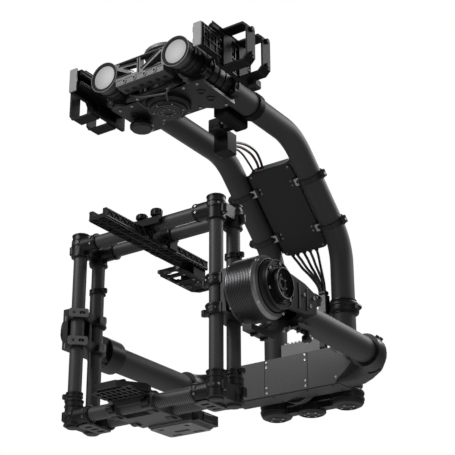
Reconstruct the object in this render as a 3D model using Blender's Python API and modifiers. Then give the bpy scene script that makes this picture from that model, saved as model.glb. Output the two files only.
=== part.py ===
"""Three-axis gimbal stabilizer: a pan head, a bent twin-tube boom, a roll arm and a tilting camera cage."""
import math

import bmesh
import bpy
from mathutils import Matrix, Vector

# ---------------------------------------------------------------- driving dimensions, in millimetres
# Lengths are measured from the gimbal centre, where the roll and tilt axes cross:
# +X to the right, +Y to the rear, +Z up.  The part's own origin is the centre of the top mounting face.
MM = 0.001
PAN_Y = 34.0                # pan axis, behind the gimbal centre
MOUNT_Z = 556.0             # top mounting face
GAP = 0.3                   # clearance between neighbours that touch

BIG_R = 25.0                # 50 mm carbon tube
BIG_BORE = 22.0
SMALL_R = 12.5              # 25 mm carbon tube
SMALL_BORE = 10.5
TUBE_SIDES = 16
SMALL_SIDES = 12

CAGE_X = 154.0              # cage uprights
CAGE_Y = 26.25
CAGE_TOP = 160.0            # upper cross tubes
CAGE_BOTTOM = -168.6        # lower cross tubes
CROSS_END_X = 139.0         # ends of the cross tubes
SLEEVE_END_X = 111.0        # inner ends of the corner sleeves

ARM_X = 213.7               # roll arm tubes
ARM_FRONT = 116.0
ARM_REAR = 414.0

BOOM_X = 85.0               # boom tubes
BOOM_Z = 486.0
BOOM_FRONT = -50.0
BOOM_REAR_Y = 543.0
BOOM_BEND_Y = 350.0         # where the level run and the slope would meet
BOOM_BEND_Z = 309.0         # where the slope and the upright run would meet
BOOM_BEND_R = 110.0
BOOM_END_Z = -20.0

CAN_R = 56.0                # tilt motor
CAN_X0 = 188.0
CAN_X1 = 252.0
HUB_X = 277.0

BOX_FRONT = 434.0           # roll box
BOX_REAR = 486.0
BOX_HALF_X = 128.0
BOX_HALF_Z = 38.0

PAN_CAN_R = 44.0            # pan motor

RAIL_X = (133.0, 157.0)     # battery rails
RAIL_Z = (467.0, 517.0)
RAIL_Y = (-76.0, 86.0)
LOOP_X = 213.5
LOOP_Z = (451.0, 534.0)
LOOP_Y = ((-12.0, 15.0), (40.0, 67.0))

NAME = "gimbal_stabilizer"
X_AXIS, Y_AXIS, Z_AXIS = Vector((1, 0, 0)), Vector((0, 1, 0)), Vector((0, 0, 1))


# ---------------------------------------------------------------- scene and materials
for old in list(bpy.data.objects):
    bpy.data.objects.remove(old, do_unlink=True)
PARTS = bpy.data.collections.new(NAME)
bpy.context.scene.collection.children.link(PARTS)

FINISHES = {                # colour, roughness, metallic
    "black_anodised": ((0.020, 0.020, 0.022), 0.45, 0.6),
    "dark_machined": ((0.045, 0.046, 0.050), 0.40, 0.8),
    "grey_machined": ((0.22, 0.22, 0.23), 0.38, 0.9),
    "light_machined": ((0.42, 0.42, 0.43), 0.35, 0.9),
    "silver": ((0.70, 0.70, 0.71), 0.25, 1.0),
    "satin_tube": ((0.040, 0.040, 0.043), 0.50, 0.1),
    "carbon_weave": ((0.050, 0.050, 0.054), 0.35, 0.1),
    "carbon_plate": ((0.11, 0.11, 0.115), 0.40, 0.1),
    "case_black": ((0.018, 0.018, 0.019), 0.60, 0.1),
    "cable_black": ((0.010, 0.010, 0.010), 0.55, 0.0),
    "cable_red": ((0.13, 0.012, 0.012), 0.50, 0.0),
}


def finish(name):
    """One Principled material for a part, in a named finish."""
    colour, roughness, metallic = FINISHES[name]
    mat = bpy.data.materials.new(name)
    mat.use_nodes = True
    shader = mat.node_tree.nodes["Principled BSDF"]
    shader.inputs["Base Color"].default_value = (*colour, 1.0)
    shader.inputs["Roughness"].default_value = roughness
    shader.inputs["Metallic"].default_value = metallic
    return mat


def place(x, y, z):
    """Millimetres from the gimbal centre to metres in the part's frame."""
    return Vector((x, y - PAN_Y, z - MOUNT_Z)) * MM


# ---------------------------------------------------------------- temporary solids
def temp(mesh, matrix=None):
    obj = bpy.data.objects.new("temp", mesh)
    bpy.context.scene.collection.objects.link(obj)
    if matrix is not None:
        obj.matrix_world = matrix
    return obj


def baked(obj):
    """The evaluated object as a plain welded mesh at the world origin."""
    bpy.context.view_layer.update()
    graph = bpy.context.evaluated_depsgraph_get()
    mesh = bpy.data.meshes.new_from_object(obj.evaluated_get(graph))
    mesh.transform(obj.matrix_world)
    bpy.data.objects.remove(obj, do_unlink=True)
    bm = bmesh.new()
    bm.from_mesh(mesh)
    bmesh.ops.remove_doubles(bm, verts=bm.verts, dist=1e-6)
    bmesh.ops.recalc_face_normals(bm, faces=bm.faces)
    bm.to_mesh(mesh)
    bm.free()
    return temp(mesh)


def frame_matrix(origin, u_axis, v_axis):
    """Matrix whose local X, Y run along u_axis, v_axis, at origin."""
    normal = u_axis.cross(v_axis)
    rows = Matrix((u_axis, v_axis, normal)).transposed().to_4x4()
    return Matrix.Translation(origin) @ rows


def along(axis):
    """Rotation that takes local Z to a direction."""
    return axis.to_track_quat("Z", "Y").to_matrix().to_4x4() if axis != Z_AXIS else Matrix.Identity(4)


def box(lo, hi, rounding=0.0, segments=1):
    """Box between two corners, its edges cut or rounded by the given width."""
    lo, hi = place(*lo), place(*hi)
    bm = bmesh.new()
    bmesh.ops.create_cube(bm, size=1.0)
    size = hi - lo
    bmesh.ops.scale(bm, vec=size, verts=bm.verts)
    bmesh.ops.translate(bm, vec=(lo + hi) / 2, verts=bm.verts)
    mesh = bpy.data.meshes.new("box")
    bm.to_mesh(mesh)
    bm.free()
    obj = temp(mesh)
    if rounding:
        bevel = obj.modifiers.new("edges", "BEVEL")
        bevel.width = rounding * MM
        bevel.segments = segments
        obj = baked(obj)
    return obj


def rod(start, end, radius, sides=TUBE_SIDES):
    """Solid cylinder or cone between two points."""
    a, b = place(*start), place(*end)
    bm = bmesh.new()
    bmesh.ops.create_cone(bm, cap_ends=True, segments=sides, radius1=radius * MM,
                          radius2=radius * MM,
                          depth=(b - a).length)
    mesh = bpy.data.meshes.new("rod")
    bm.to_mesh(mesh)
    bm.free()
    return baked(temp(mesh, Matrix.Translation((a + b) / 2) @ along((b - a).normalized())))


def turned(profile, centre, axis, sides=24):
    """Solid of revolution: profile of (radius, height) that runs down its outer side."""
    curve_mesh = bpy.data.meshes.new("profile")
    points = [(r * MM, 0.0, h * MM) for r, h in profile]
    closed = profile[0][0] > 0
    edges = [(i, i + 1) for i in range(len(points) - 1)]
    if closed:
        edges.append((len(points) - 1, 0))
    curve_mesh.from_pydata(points, edges, [])
    obj = temp(curve_mesh, Matrix.Translation(place(*centre)) @ along(axis))
    screw = obj.modifiers.new("turn", "SCREW")
    screw.steps = screw.render_steps = sides
    screw.use_merge_vertices = True
    screw.merge_threshold = 0.00001
    return baked(obj)


def sleeve(start, end, radius, bore, sides=TUBE_SIDES):
    """Straight tube with open ends."""
    cutter = rod(beyond(start, end, -1.0), beyond(end, start, -1.0), bore, sides)
    return cut(rod(start, end, radius, sides), [cutter])


def beyond(point, other, step):
    """A point moved by step towards other; a negative step moves it away."""
    a, b = Vector(point), Vector(other)
    return tuple(a + (b - a).normalized() * step)


def outline_curve(loops):
    curve = bpy.data.curves.new("outline", "CURVE")
    curve.dimensions = "2D"
    curve.fill_mode = "BOTH"
    for loop in loops:
        spline = curve.splines.new("POLY")
        spline.points.add(len(loop) - 1)
        for point, (u, v) in zip(spline.points, loop):
            point.co = (u * MM, v * MM, 0.0, 1.0)
        spline.use_cyclic_u = True
    return curve


def flat(loops, thickness, centre, u_axis, v_axis):
    """Flat plate: the first loop is its outline and the others are its holes, around centre."""
    curve = outline_curve(loops)
    curve.extrude = thickness * MM / 2
    obj = temp(curve, frame_matrix(place(*centre), u_axis, v_axis))
    return baked(obj)


def sweep(points, radius, resolution=1):
    """Round bar along a list of points."""
    curve = bpy.data.curves.new("route", "CURVE")
    curve.dimensions = "3D"
    curve.bevel_depth = radius * MM
    curve.bevel_resolution = resolution
    curve.use_fill_caps = True
    spline = curve.splines.new("POLY")
    spline.points.add(len(points) - 1)
    for knot, point in zip(spline.points, points):
        knot.co = (*place(*point), 1.0)
    return baked(temp(curve))


def booled(target, others, operation):
    for other in others:
        tool = target.modifiers.new(operation, "BOOLEAN")
        tool.operation = operation
        tool.solver = "EXACT"
        tool.object = other
        target = baked(target)
        bpy.data.objects.remove(other, do_unlink=True)
    return target


def cut(target, cutters):
    return booled(target, cutters, "DIFFERENCE")


def join(target, others):
    return booled(target, others, "UNION")


# ---------------------------------------------------------------- named parts under their joint's empty
EMPTIES = {}


def joint_empty(name, at_point, parent=None):
    """Empty on a joint's axis that carries the body's parts."""
    empty = bpy.data.objects.new(name, None)
    PARTS.objects.link(empty)
    if parent:
        empty.parent = EMPTIES[parent]
        empty.location = place(*at_point) - EMPTIES[parent].matrix_world.translation
    else:
        empty.location = place(*at_point)
    bpy.context.view_layer.update()
    EMPTIES[name] = empty
    return empty


def part(name, solid, material, body):
    """Name a solid, give it its material and put it under its body's empty."""
    mesh = solid.data
    bpy.data.objects.remove(solid, do_unlink=True)
    empty = EMPTIES[body]
    mesh.transform(Matrix.Translation(-empty.matrix_world.translation))
    mesh.name = name
    mesh.materials.clear()
    mesh.materials.append(finish(material))
    mesh.shade_smooth()
    mesh.set_sharp_from_angle(angle=math.radians(35))
    obj = bpy.data.objects.new(name, mesh)
    PARTS.objects.link(obj)
    obj.parent = empty
    return obj


def circle(cx, cz, radius, sides=24, start=0.0, end=360.0):
    """Points of an arc or a full circle in a plate's own plane."""
    full = end - start >= 360.0
    count = sides if full else sides + 1
    return [(cx + radius * math.cos(math.radians(start + (end - start) * i / sides)),
             cz + radius * math.sin(math.radians(start + (end - start) * i / sides))) for i in range(count)]


def slot(cu, cv, length, width):
    """Slot along the plate's first direction."""
    r = width / 2
    h = length / 2 - r
    return circle(cu + h, cv, r, 6, -90, 90) + circle(cu - h, cv, r, 6, 90, 270)


def rounded(u0, v0, u1, v1, radius):
    """Rectangle with round corners."""
    r = radius
    return (circle(u1 - r, v1 - r, r, 3, 0, 90) + circle(u0 + r, v1 - r, r, 3, 90, 180)
            + circle(u0 + r, v0 + r, r, 3, 180, 270) + circle(u1 - r, v0 + r, r, 3, 270, 360 - 1e-6))


def sides_of(side):
    return "right" if side > 0 else "left"


# ---------------------------------------------------------------- fixed mount
def build_mount():
    joint_empty("mount", (0, PAN_Y, MOUNT_Z))
    plate = turned([(0, 0), (47, 0), (50, -3), (50, -9), (47, -11), (0, -11)], (0, PAN_Y, MOUNT_Z), Z_AXIS)
    holes = [rod((36 * math.cos(a), PAN_Y + 36 * math.sin(a), MOUNT_Z + 1),
                 (36 * math.cos(a), PAN_Y + 36 * math.sin(a), MOUNT_Z - 8), 3.2, 8)
             for a in (math.radians(45 + 90 * i) for i in range(4))]
    part("mount_plate", cut(plate, holes), "light_machined", "mount")
    profile = [(0, 544.7), (40, 544.7), (40, 524), (36, 519), (36, 447), (0, 447)]
    stator = turned(profile, (0, PAN_Y, 0), Z_AXIS)
    part("pan_stator", stator, "black_anodised", "mount")


# ---------------------------------------------------------------- head
def build_pan_can():
    profile = [(0, 446), (37.5, 446), (37.5, 512), (44, 512), (44, 455), (50, 453), (50, 449.3), (44, 449.3),
               (44, 436), (41, 432), (36, 432), (36, 429), (22, 429), (22, 426), (0, 426)]
    part("pan_can", turned(profile, (0, PAN_Y, 0), Z_AXIS, 24), "black_anodised", "head")


def build_front_truss():
    z0, z1 = BOOM_Z - 19, BOOM_Z + 20
    right = [(0, z0)] + circle(BOOM_X, BOOM_Z, 30.5, 20, 219, 499) + [(0, z1)]
    outline = right + [(-u, v) for u, v in reversed(right[1:-1])]
    windows = [
        [(-54, z0 + 5), (-20, z0 + 5), (-54, z0 + 24)],
        [(-48, z1 - 4), (-50, z1 - 9), (-6, z1 - 12), (-6, z1 - 4)],
        [(-40, z1 - 14), (-14, z0 + 6), (-6, z0 + 6), (-6, z1 - 17)],
        [(2, z1 - 4), (2, z0 + 8), (46, z1 - 4)],
        [(8, z0 + 5), (52, z0 + 5), (52, z1 - 8)],
    ]
    bores = [circle(s * BOOM_X, BOOM_Z, BIG_R + 0.5, TUBE_SIDES) for s in (-1, 1)]
    plate = flat([outline] + windows + bores, 12, (0, -54, 0), X_AXIS, Z_AXIS)
    flange = box((-57, -50, 455), (57, -26, 461))
    web = box((-56.5, -59, 456), (56.5, -49, 469))
    part("head_front_truss", join(plate, [web, flange]), "grey_machined", "head")


def clamp_ring(side, y):
    """Ring round a boom tube with a foot on the base plate, a bolted ear and a lug for the battery rail."""
    centre = side * BOOM_X
    bore = circle(centre, BOOM_Z, BIG_R + 0.5, TUBE_SIDES)
    ring = flat([circle(centre, BOOM_Z, 34, 16), bore], 14, (0, y, 0), X_AXIS, Z_AXIS)
    foot = box((centre - 21, y - 6.5, 449.3), (centre + 21, y + 6.5, 458))
    ear = rod((centre + side * 26, y - 8, BOOM_Z - 24), (centre + side * 26, y + 8, BOOM_Z - 24), 9, 8)
    lug = box(*span(centre + side * 31, side * (RAIL_X[0] - GAP), y - 5, y + 5, 484, 500))
    return join(ring, [foot, ear, lug])


def build_head_clamp(side):
    """Two clamp rings on one sleeve, which a boom tube slides through."""
    centre = side * BOOM_X
    rings = [clamp_ring(side, y) for y in (0, 97)]
    tube = sleeve((centre, -47.7, BOOM_Z), (centre, 100, BOOM_Z), 29.5, BIG_R + 0.5)
    part("head_clamp_" + sides_of(side), join(tube, rings), "dark_machined", "head")


def build_base_plate():
    right = [(0, -25), (56, -25), (72, -9), (106, -9), (106, 106), (74, 106), (52, 88), (0, 88)]
    outline = right + [(-u, v) for u, v in reversed(right[1:-1])]
    hole = circle(0, PAN_Y, PAN_CAN_R + 0.4, 24)
    plate = flat([outline, hole], 6, (0, 0, 446), X_AXIS, Y_AXIS)
    part("head_base_plate", plate, "grey_machined", "head")


def build_battery_side(side):
    label = sides_of(side)
    x0, x1 = RAIL_X
    y0, y1 = RAIL_Y
    wall = [(y0, RAIL_Z[0]), (-30, RAIL_Z[0]), (-20, RAIL_Z[0] - 14), (y1, RAIL_Z[0] - 14), (y1, LOOP_Z[1]),
            (-40, LOOP_Z[1]), (-52, RAIL_Z[1]), (y0, RAIL_Z[1])]
    slots = [slot(-66, 496, 12, 7), slot(-43, 496, 9, 7.6), slot(-17, 496, 20, 6.6), slot(20, 496, 16, 7.2)]
    slots += [rounded(-14, 459.5, 4, 478, 3), rounded(34, 458.5, 58, 479.5, 3)]
    plate = flat([wall], 7, (side * (x1 - 3.5), 0, 0), Y_AXIS, Z_AXIS)
    plate = cut(plate, [flat([hole], 12, (side * (x1 - 3.5), 0, 0), Y_AXIS, Z_AXIS) for hole in slots])
    bars = [box(*span(side * x0, side * (x1 - 5), y0 + 4, y1 - 4, z0, z1))
            for z0, z1 in ((503, 515), (481, 489))]
    part("battery_rail_" + label, join(plate, bars), "black_anodised", "head")
    strip = box(*span(side * (x1 + GAP), side * (x1 + 3), -46, 70, 519, 533))
    ribs = [box(*span(side * (x1 + 2), side * (x1 + 4.3), -46, 70, z, z + 2.5)) for z in (520, 529)]
    loops = []
    for ya, yb in LOOP_Y:
        outer = loop_outline(x1 + GAP, LOOP_X, *LOOP_Z, 10)
        inner = loop_outline(x1 + GAP + 4, LOOP_X - 4, LOOP_Z[0] + 4, LOOP_Z[1] - 4, 8)
        outer, inner = [[(side * u, v) for u, v in loop] for loop in (outer, inner)]
        loops.append(flat([outer, inner], yb - ya, (0, (ya + yb) / 2, 0), X_AXIS, Z_AXIS))
    part("battery_loops_" + label, join(strip, ribs + loops), "black_anodised", "head")


def loop_outline(u0, u1, v0, v1, chamfer):
    """Rectangle whose outer two corners are cut off."""
    return [(u0, v0), (u1 - chamfer, v0), (u1, v0 + chamfer), (u1, v1 - chamfer), (u1 - chamfer, v1),
            (u0, v1)]


def span(xa, xb, ya, yb, za, zb):
    """Corners of a box from unordered X bounds."""
    return (min(xa, xb), ya, za), (max(xa, xb), yb, zb)


def build_port():
    centre = (-BOOM_X, 60)
    body = turned([(0, 442.7), (9, 442.7), (9, 438), (18, 438), (24, 434), (24, 428), (20, 424), (0, 424)],
                  (*centre, 0), Z_AXIS, 16)
    pins = [rod((centre[0] + 15 * math.cos(a), centre[1] + 15 * math.sin(a), 436),
                (centre[0] + 15 * math.cos(a), centre[1] + 15 * math.sin(a), 442.7), 2.5, 6)
            for a in (math.radians(60 * i) for i in range(6))]
    part("accessory_port", join(body, pins), "dark_machined", "head")


def build_head():
    joint_empty("head", (0, PAN_Y, BOOM_Z), "mount")
    build_pan_can()
    build_front_truss()
    build_base_plate()
    for side in (-1, 1):
        build_head_clamp(side)
        build_battery_side(side)
    build_port()


# ---------------------------------------------------------------- boom
def bend(corner, before, after, radius, steps):
    """Arc between two straight runs that meet at a corner, in the YZ plane."""
    corner, before, after = Vector(corner), Vector(before).normalized(), Vector(after).normalized()
    angle = before.angle(after)
    reach = radius * math.tan(angle / 2)
    start = corner - before * reach
    inward = (after - before * before.dot(after)).normalized()
    centre = start + inward * radius
    points = []
    for i in range(steps + 1):
        turn = angle * i / steps
        points.append(centre - inward * radius * math.cos(turn) + before * radius * math.sin(turn))
    return [tuple(p) for p in points]


def boom_route(side, start_y, end_z):
    level = Vector((0, 1, 0))
    corner_a = Vector((side * BOOM_X, BOOM_BEND_Y, BOOM_Z))
    corner_b = Vector((side * BOOM_X, BOOM_REAR_Y, BOOM_BEND_Z))
    slope = corner_b - corner_a
    points = [(side * BOOM_X, start_y, BOOM_Z)]
    points += bend(corner_a, level, slope, BOOM_BEND_R, 5)
    points += bend(corner_b, slope, Vector((0, 0, -1)), BOOM_BEND_R, 5)
    return points + [(side * BOOM_X, BOOM_REAR_Y, end_z)]


SLOPE = Vector((0, BOOM_REAR_Y - BOOM_BEND_Y, BOOM_BEND_Z - BOOM_Z)).normalized()
NORMAL = X_AXIS.cross(SLOPE)
CASE_CENTRE = Vector((0, BOOM_BEND_Y, BOOM_Z)) + SLOPE * 139.0


CASE_S = (-85.0, 122.0)      # ends of the case along the slope
CLAMP_S = (-40.0, 72.0)


def on_slope(u, s, n):
    """Point across, along and above the sloping run of the boom."""
    return tuple(CASE_CENTRE + X_AXIS * u + SLOPE * s + NORMAL * n)


def build_boom_tubes():
    for side in (-1, 1):
        tube = sweep(boom_route(side, BOOM_FRONT, BOOM_END_Z), BIG_R, 6)
        bore = sweep(boom_route(side, BOOM_FRONT + 6, BOOM_END_Z - 1), BIG_BORE, 2)
        face = turned([(0, BOOM_FRONT + 1), (24.5, BOOM_FRONT + 1), (24.5, -56), (22.5, -58), (0, -58)],
                      (side * BOOM_X, 0, BOOM_Z), Y_AXIS, TUBE_SIDES)
        part("boom_tube_" + sides_of(side), join(cut(tube, [bore]), [face]), "satin_tube", "boom")


def build_boom_foot():
    """Caps on the lower ends of both tubes, with the bridge and centre disc that tie them."""
    profile = [(0, -20.3), (31, -20.3), (34.5, -24), (34.5, -46), (31, -52), (24, -55), (0, -55)]
    feet = [turned(profile, (s * BOOM_X, BOOM_REAR_Y, 0), Z_AXIS, 20) for s in (-1, 1)]
    disc = turned([(0, -35), (28, -35), (30, -37), (30, -54), (27, -57), (0, -57)],
                  (0, BOOM_REAR_Y, 0), Z_AXIS, 24)
    bar = box((-56, BOOM_REAR_Y - 12, -50), (56, BOOM_REAR_Y + 12, -37))
    part("boom_foot", join(disc, [bar] + feet), "black_anodised", "boom")


def build_collars():
    """Stop collars that limit the roll stage; the right one carries the cable clip."""
    for side in (-1, 1):
        profile = [(25.3, 168), (32, 168), (33, 166), (33, 161), (31, 159), (31, 156), (33, 154), (33, 148),
                   (32, 146), (25.3, 146)]
        ring = turned(profile, (side * BOOM_X, BOOM_REAR_Y, 0), Z_AXIS, TUBE_SIDES)
        ear_x = side * (BOOM_X + 33)
        added = [rod((ear_x, BOOM_REAR_Y - 8, 157), (ear_x, BOOM_REAR_Y + 8, 157), 7, 8)]
        if side > 0:
            clip = box((42, 512, 144), (60, 531, 189), 1.5)
            added.append(cut(clip, [rod((BOOM_X, BOOM_REAR_Y, 140), (BOOM_X, BOOM_REAR_Y, 195), 28)]))
        part("boom_collar_" + sides_of(side), join(ring, added), "black_anodised", "boom")


def build_power_block():
    """Block clamped on the right tube, with an arm that holds the stepped power socket between the tubes."""
    bore = rod((BOOM_X, 130, BOOM_Z), (BOOM_X, 230, BOOM_Z), BIG_R + GAP)
    ring = rod((BOOM_X, 188, BOOM_Z), (BOOM_X, 206, BOOM_Z), 29, 24)
    block = box((30, 140, 452), (62, 222, 484), 4)
    arm = box((10, 197, 457), (32, 214, 469))
    socket_front = box((-17, 190, 454), (14, 224, 484), 2)
    socket_rear = box((-20, 214, 418), (14, 250, 466), 2)
    sockets = [rod((x, 188, 469), (x, 192, 469), 5.5, 12) for x in (-9, 6)]
    solid = cut(join(block, [ring]), [bore])
    part("power_block", join(solid, [arm, socket_front, socket_rear] + sockets), "black_anodised", "boom")


def build_case():
    outline = rounded(-55, CASE_S[0], 55, CASE_S[1], 12)
    body = flat([outline], 29, on_slope(0, 0, 13.5), X_AXIS, SLOPE)
    part("case_body", body, "case_black", "boom")
    outline = rounded(-53.5, CASE_S[0] + 1.5, 53.5, CASE_S[1] - 1.5, 11)
    cover = flat([outline], 2.2, on_slope(0, 0, -2.4), X_AXIS, SLOPE)
    part("case_cover", cover, "case_black", "boom")
    for s, label in zip(CLAMP_S, ("upper", "lower")):
        solids = []
        bores = []
        for side in (-1, 1):
            bore_ends = on_slope(side * BOOM_X, s - 20, 0), on_slope(side * BOOM_X, s + 20, 0)
            bores.append(rod(*bore_ends, BIG_R + GAP))
            ring = rod(on_slope(side * BOOM_X, s - 5.5, 0), on_slope(side * BOOM_X, s + 5.5, 0), 29, 16)
            ear_u = side * (BOOM_X + 29)
            ear = rod(on_slope(ear_u, s - 7, 1), on_slope(ear_u, s + 7, 1), 8, 8)
            tab_loops = [[(side * u, v) for u, v in ((44, -9), (61, -9), (61, 9), (44, 9))],
                         circle(side * 51, 0, 4, 8)]
            tab = flat(tab_loops, 3, on_slope(0, s, -5.4), X_AXIS, SLOPE)
            post_u = side * 79
            post_outline = [(post_u - 8, 26.5), (post_u + 8, 26.5), (post_u + 8, 35.5), (post_u - 8, 35.5)]
            post = flat([post_outline], 10, on_slope(0, s, 0), X_AXIS, NORMAL)
            solids += [ring, ear, tab, post]
        bar = flat([[(-84, 28.6), (84, 28.6), (84, 36), (-84, 36)]], 10.5, on_slope(0, s, 0), X_AXIS, NORMAL)
        part("case_clamp_" + label, cut(join(bar, solids), bores), "dark_machined", "boom")


def smooth(points, step):
    """Points every step along a smooth curve through a route's own points."""
    knots = [Vector(p) for p in points]
    knots = [knots[0] * 2 - knots[1]] + knots + [knots[-1] * 2 - knots[-2]]
    result = []
    for a, b, c, d in zip(knots, knots[1:], knots[2:], knots[3:]):
        count = max(1, round((c - b).length / step))
        for i in range(count):
            t = i / count
            result.append(0.5 * (b * 2 + (c - a) * t + (a * 2 - b * 5 + c * 4 - d) * t * t
                                 + (b * 3 - a - c * 3 + d) * t ** 3))
    return [tuple(p) for p in result] + [tuple(points[-1])]


# Points of each cable from the power block, with its end on the case and its radius.
UPPER_ROUTES = (
    ([(3, 255.3, 451), (1, 275, 462), (-4, 317, 475), (-10, 358, 479), (-16, 385, 470)], (-20, 14), 2.8),
    ([(-4, 255.3, 446), (-6, 275, 456), (-9, 303, 465), (-15, 345, 471), (-21, 376, 466)], (-26.5, 9), 2.8),
    ([(-11, 255.3, 441), (-11, 283, 454), (-19, 320, 460), (-29, 358, 458), (-35, 378, 457)], (-38, 4), 2.2),
)
LOWER_STARTS = (-38, -26, -9, 6, 22)
LOWER_ENDS = ((45, 517), (48, 523), (51, 515.5), (54, 521), (57.3, 515))
LOWER_SHARES = ((0.14, 292, 547), (0.34, 270, 541), (0.62, 245, 531), (0.90, 215, 522))


def lower_route(start, end_x, end_y):
    """Straight out of the case's foot, then down and across to the loom boot."""
    middle = [(start + (end_x - start) * share, y + (end_y - 519) * share, z) for share, z, y in LOWER_SHARES]
    ends = [on_slope(start, CASE_S[1] + 0.9, 4), on_slope(start, CASE_S[1] + 7, 3)]
    return ends + middle + [(end_x, end_y, 192)]


def build_cables():
    """Cables held at both ends: three from a shared plug to the case, five from the case to a loom boot."""
    cables = [sweep(smooth(route + [on_slope(end[0], CASE_S[0] - 1, end[1])], 13), radius)
              for route, end, radius in UPPER_ROUTES]
    plug = box((-16, 250.4, 434), (9, 256, 458), 1)
    part("upper_cables", join(plug, cables), "cable_black", "boom")
    cables = [sweep(smooth(lower_route(start, *end), 14), 3) for start, end in zip(LOWER_STARTS, LOWER_ENDS)]
    boot = box((42, 511.5, 189.4), (60.5, 526.5, 197), 1)
    part("lower_cables", join(boot, cables), "cable_black", "boom")


def build_boom():
    joint_empty("boom", (0, 0, BOOM_Z), "head")
    build_boom_tubes()
    build_boom_foot()
    build_collars()
    build_power_block()
    build_case()
    build_cables()


# ---------------------------------------------------------------- roll stage
def build_stage():
    joint_empty("roll_stage", (0, BOOM_REAR_Y, 0), "boom")
    right = [(0, 521), (60, 521)] + circle(BOOM_X, BOOM_REAR_Y, 33, 18, 224, 496) + [(60, 565), (0, 565)]
    outline = right + [(-u, v) for u, v in reversed(right[1:-1])]
    bores = [circle(s * BOOM_X, BOOM_REAR_Y, BIG_R + 0.4, TUBE_SIDES) for s in (-1, 1)]
    clamp = flat([outline] + bores, 68, (0, 0, 20), X_AXIS, Y_AXIS)
    part("stage_clamp", clamp, "black_anodised", "roll_stage")
    teeth = []
    for i in range(10):
        x = 34 - 9 * i
        teeth += [(x, 98), (x - 1, 101), (x - 4, 101), (x - 5, 98)]
    outline = [(-58, 54.3), (36, 54.3), (36, 98)] + teeth + [(-58, 98)]
    plate = flat([outline], 9, (0, 525.5, 0), X_AXIS, Z_AXIS)
    part("stage_plate", plate, "light_machined", "roll_stage")
    stator = turned([(0, 520.7), (30, 520.7), (30, 491), (0, 491)], (0, 0, 0), Y_AXIS)
    part("roll_stator", stator, "black_anodised", "roll_stage")


# ---------------------------------------------------------------- roll arm
def loft(sections):
    """Skin over closed sections that have the same number of points, with capped ends."""
    bm = bmesh.new()
    rings = [[bm.verts.new(place(*point)) for point in section] for section in sections]
    for a, b in zip(rings, rings[1:]):
        for i in range(len(a)):
            j = (i + 1) % len(a)
            bm.faces.new((a[i], a[j], b[j], b[i]))
    bm.faces.new(list(reversed(rings[0])))
    bm.faces.new(rings[-1])
    mesh = bpy.data.meshes.new("loft")
    bm.to_mesh(mesh)
    bm.free()
    return baked(temp(mesh))


# Stations of the box's end: inner corner, outer corner, half height, squareness.
END_STATIONS = (((180.7, 385), (246.7, 385), 33, 2.0), ((180.7, 400), (246.7, 404), 33, 2.0),
                ((178, 412), (241, 425), 34, 2.2), ((171, 421), (223, 447), 35.5, 2.7),
                ((159, 427), (196, 466), 37, 3.6), ((145, 430), (168, 480), 38, 5.5),
                ((128.3, 430), (128.3, 486), 38, 9.0))


def station(side, inner, outer, half_z, squareness, count=24):
    mid = ((inner[0] + outer[0]) / 2, (inner[1] + outer[1]) / 2)
    half = ((outer[0] - inner[0]) / 2, (outer[1] - inner[1]) / 2)
    points = []
    for i in range(count):
        angle = 2 * math.pi * i / count
        c, s = math.cos(angle), math.sin(angle)
        across = math.copysign(abs(c) ** (2 / squareness), c)
        height = math.copysign(abs(s) ** (2 / squareness), s)
        points.append((side * (mid[0] + half[0] * across), mid[1] + half[1] * across, half_z * height))
    return points


def build_roll_box():
    body = box((-BOX_HALF_X, BOX_FRONT + GAP, -BOX_HALF_Z), (BOX_HALF_X, BOX_REAR, BOX_HALF_Z), 2)
    rotor = turned([(31, 501), (45, 501), (46, 500), (46, BOX_REAR - 3), (31, BOX_REAR - 3)],
                   (0, 0, 0), Y_AXIS)
    part("roll_box", join(body, [rotor]), "dark_machined", "roll_arm")
    plate = box((-BOX_HALF_X, BOX_FRONT - 4, -BOX_HALF_Z), (BOX_HALF_X, BOX_FRONT, BOX_HALF_Z))
    seams = [box((x - 0.4, BOX_FRONT - 5, -50), (x + 0.4, BOX_FRONT - 2, 50)) for x in (-43, 59)]
    part("roll_front_plate", cut(plate, seams), "carbon_plate", "roll_arm")
    for side in (-1, 1):
        end = loft([station(side, *values) for values in END_STATIONS])
        bore = rod((side * ARM_X, 380, 0), (side * ARM_X, ARM_REAR + GAP, 0), BIG_R + 0.3)
        notch = box(*span(side * 199, side * 229, 420, 427, -45, -28))
        part("roll_box_end_" + sides_of(side), cut(end, [bore, notch]), "dark_machined", "roll_arm")
        tube = sleeve((side * ARM_X, ARM_FRONT, 0), (side * ARM_X, ARM_REAR, 0), BIG_R, BIG_BORE)
        part("arm_tube_" + sides_of(side), tube, "satin_tube", "roll_arm")


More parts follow.
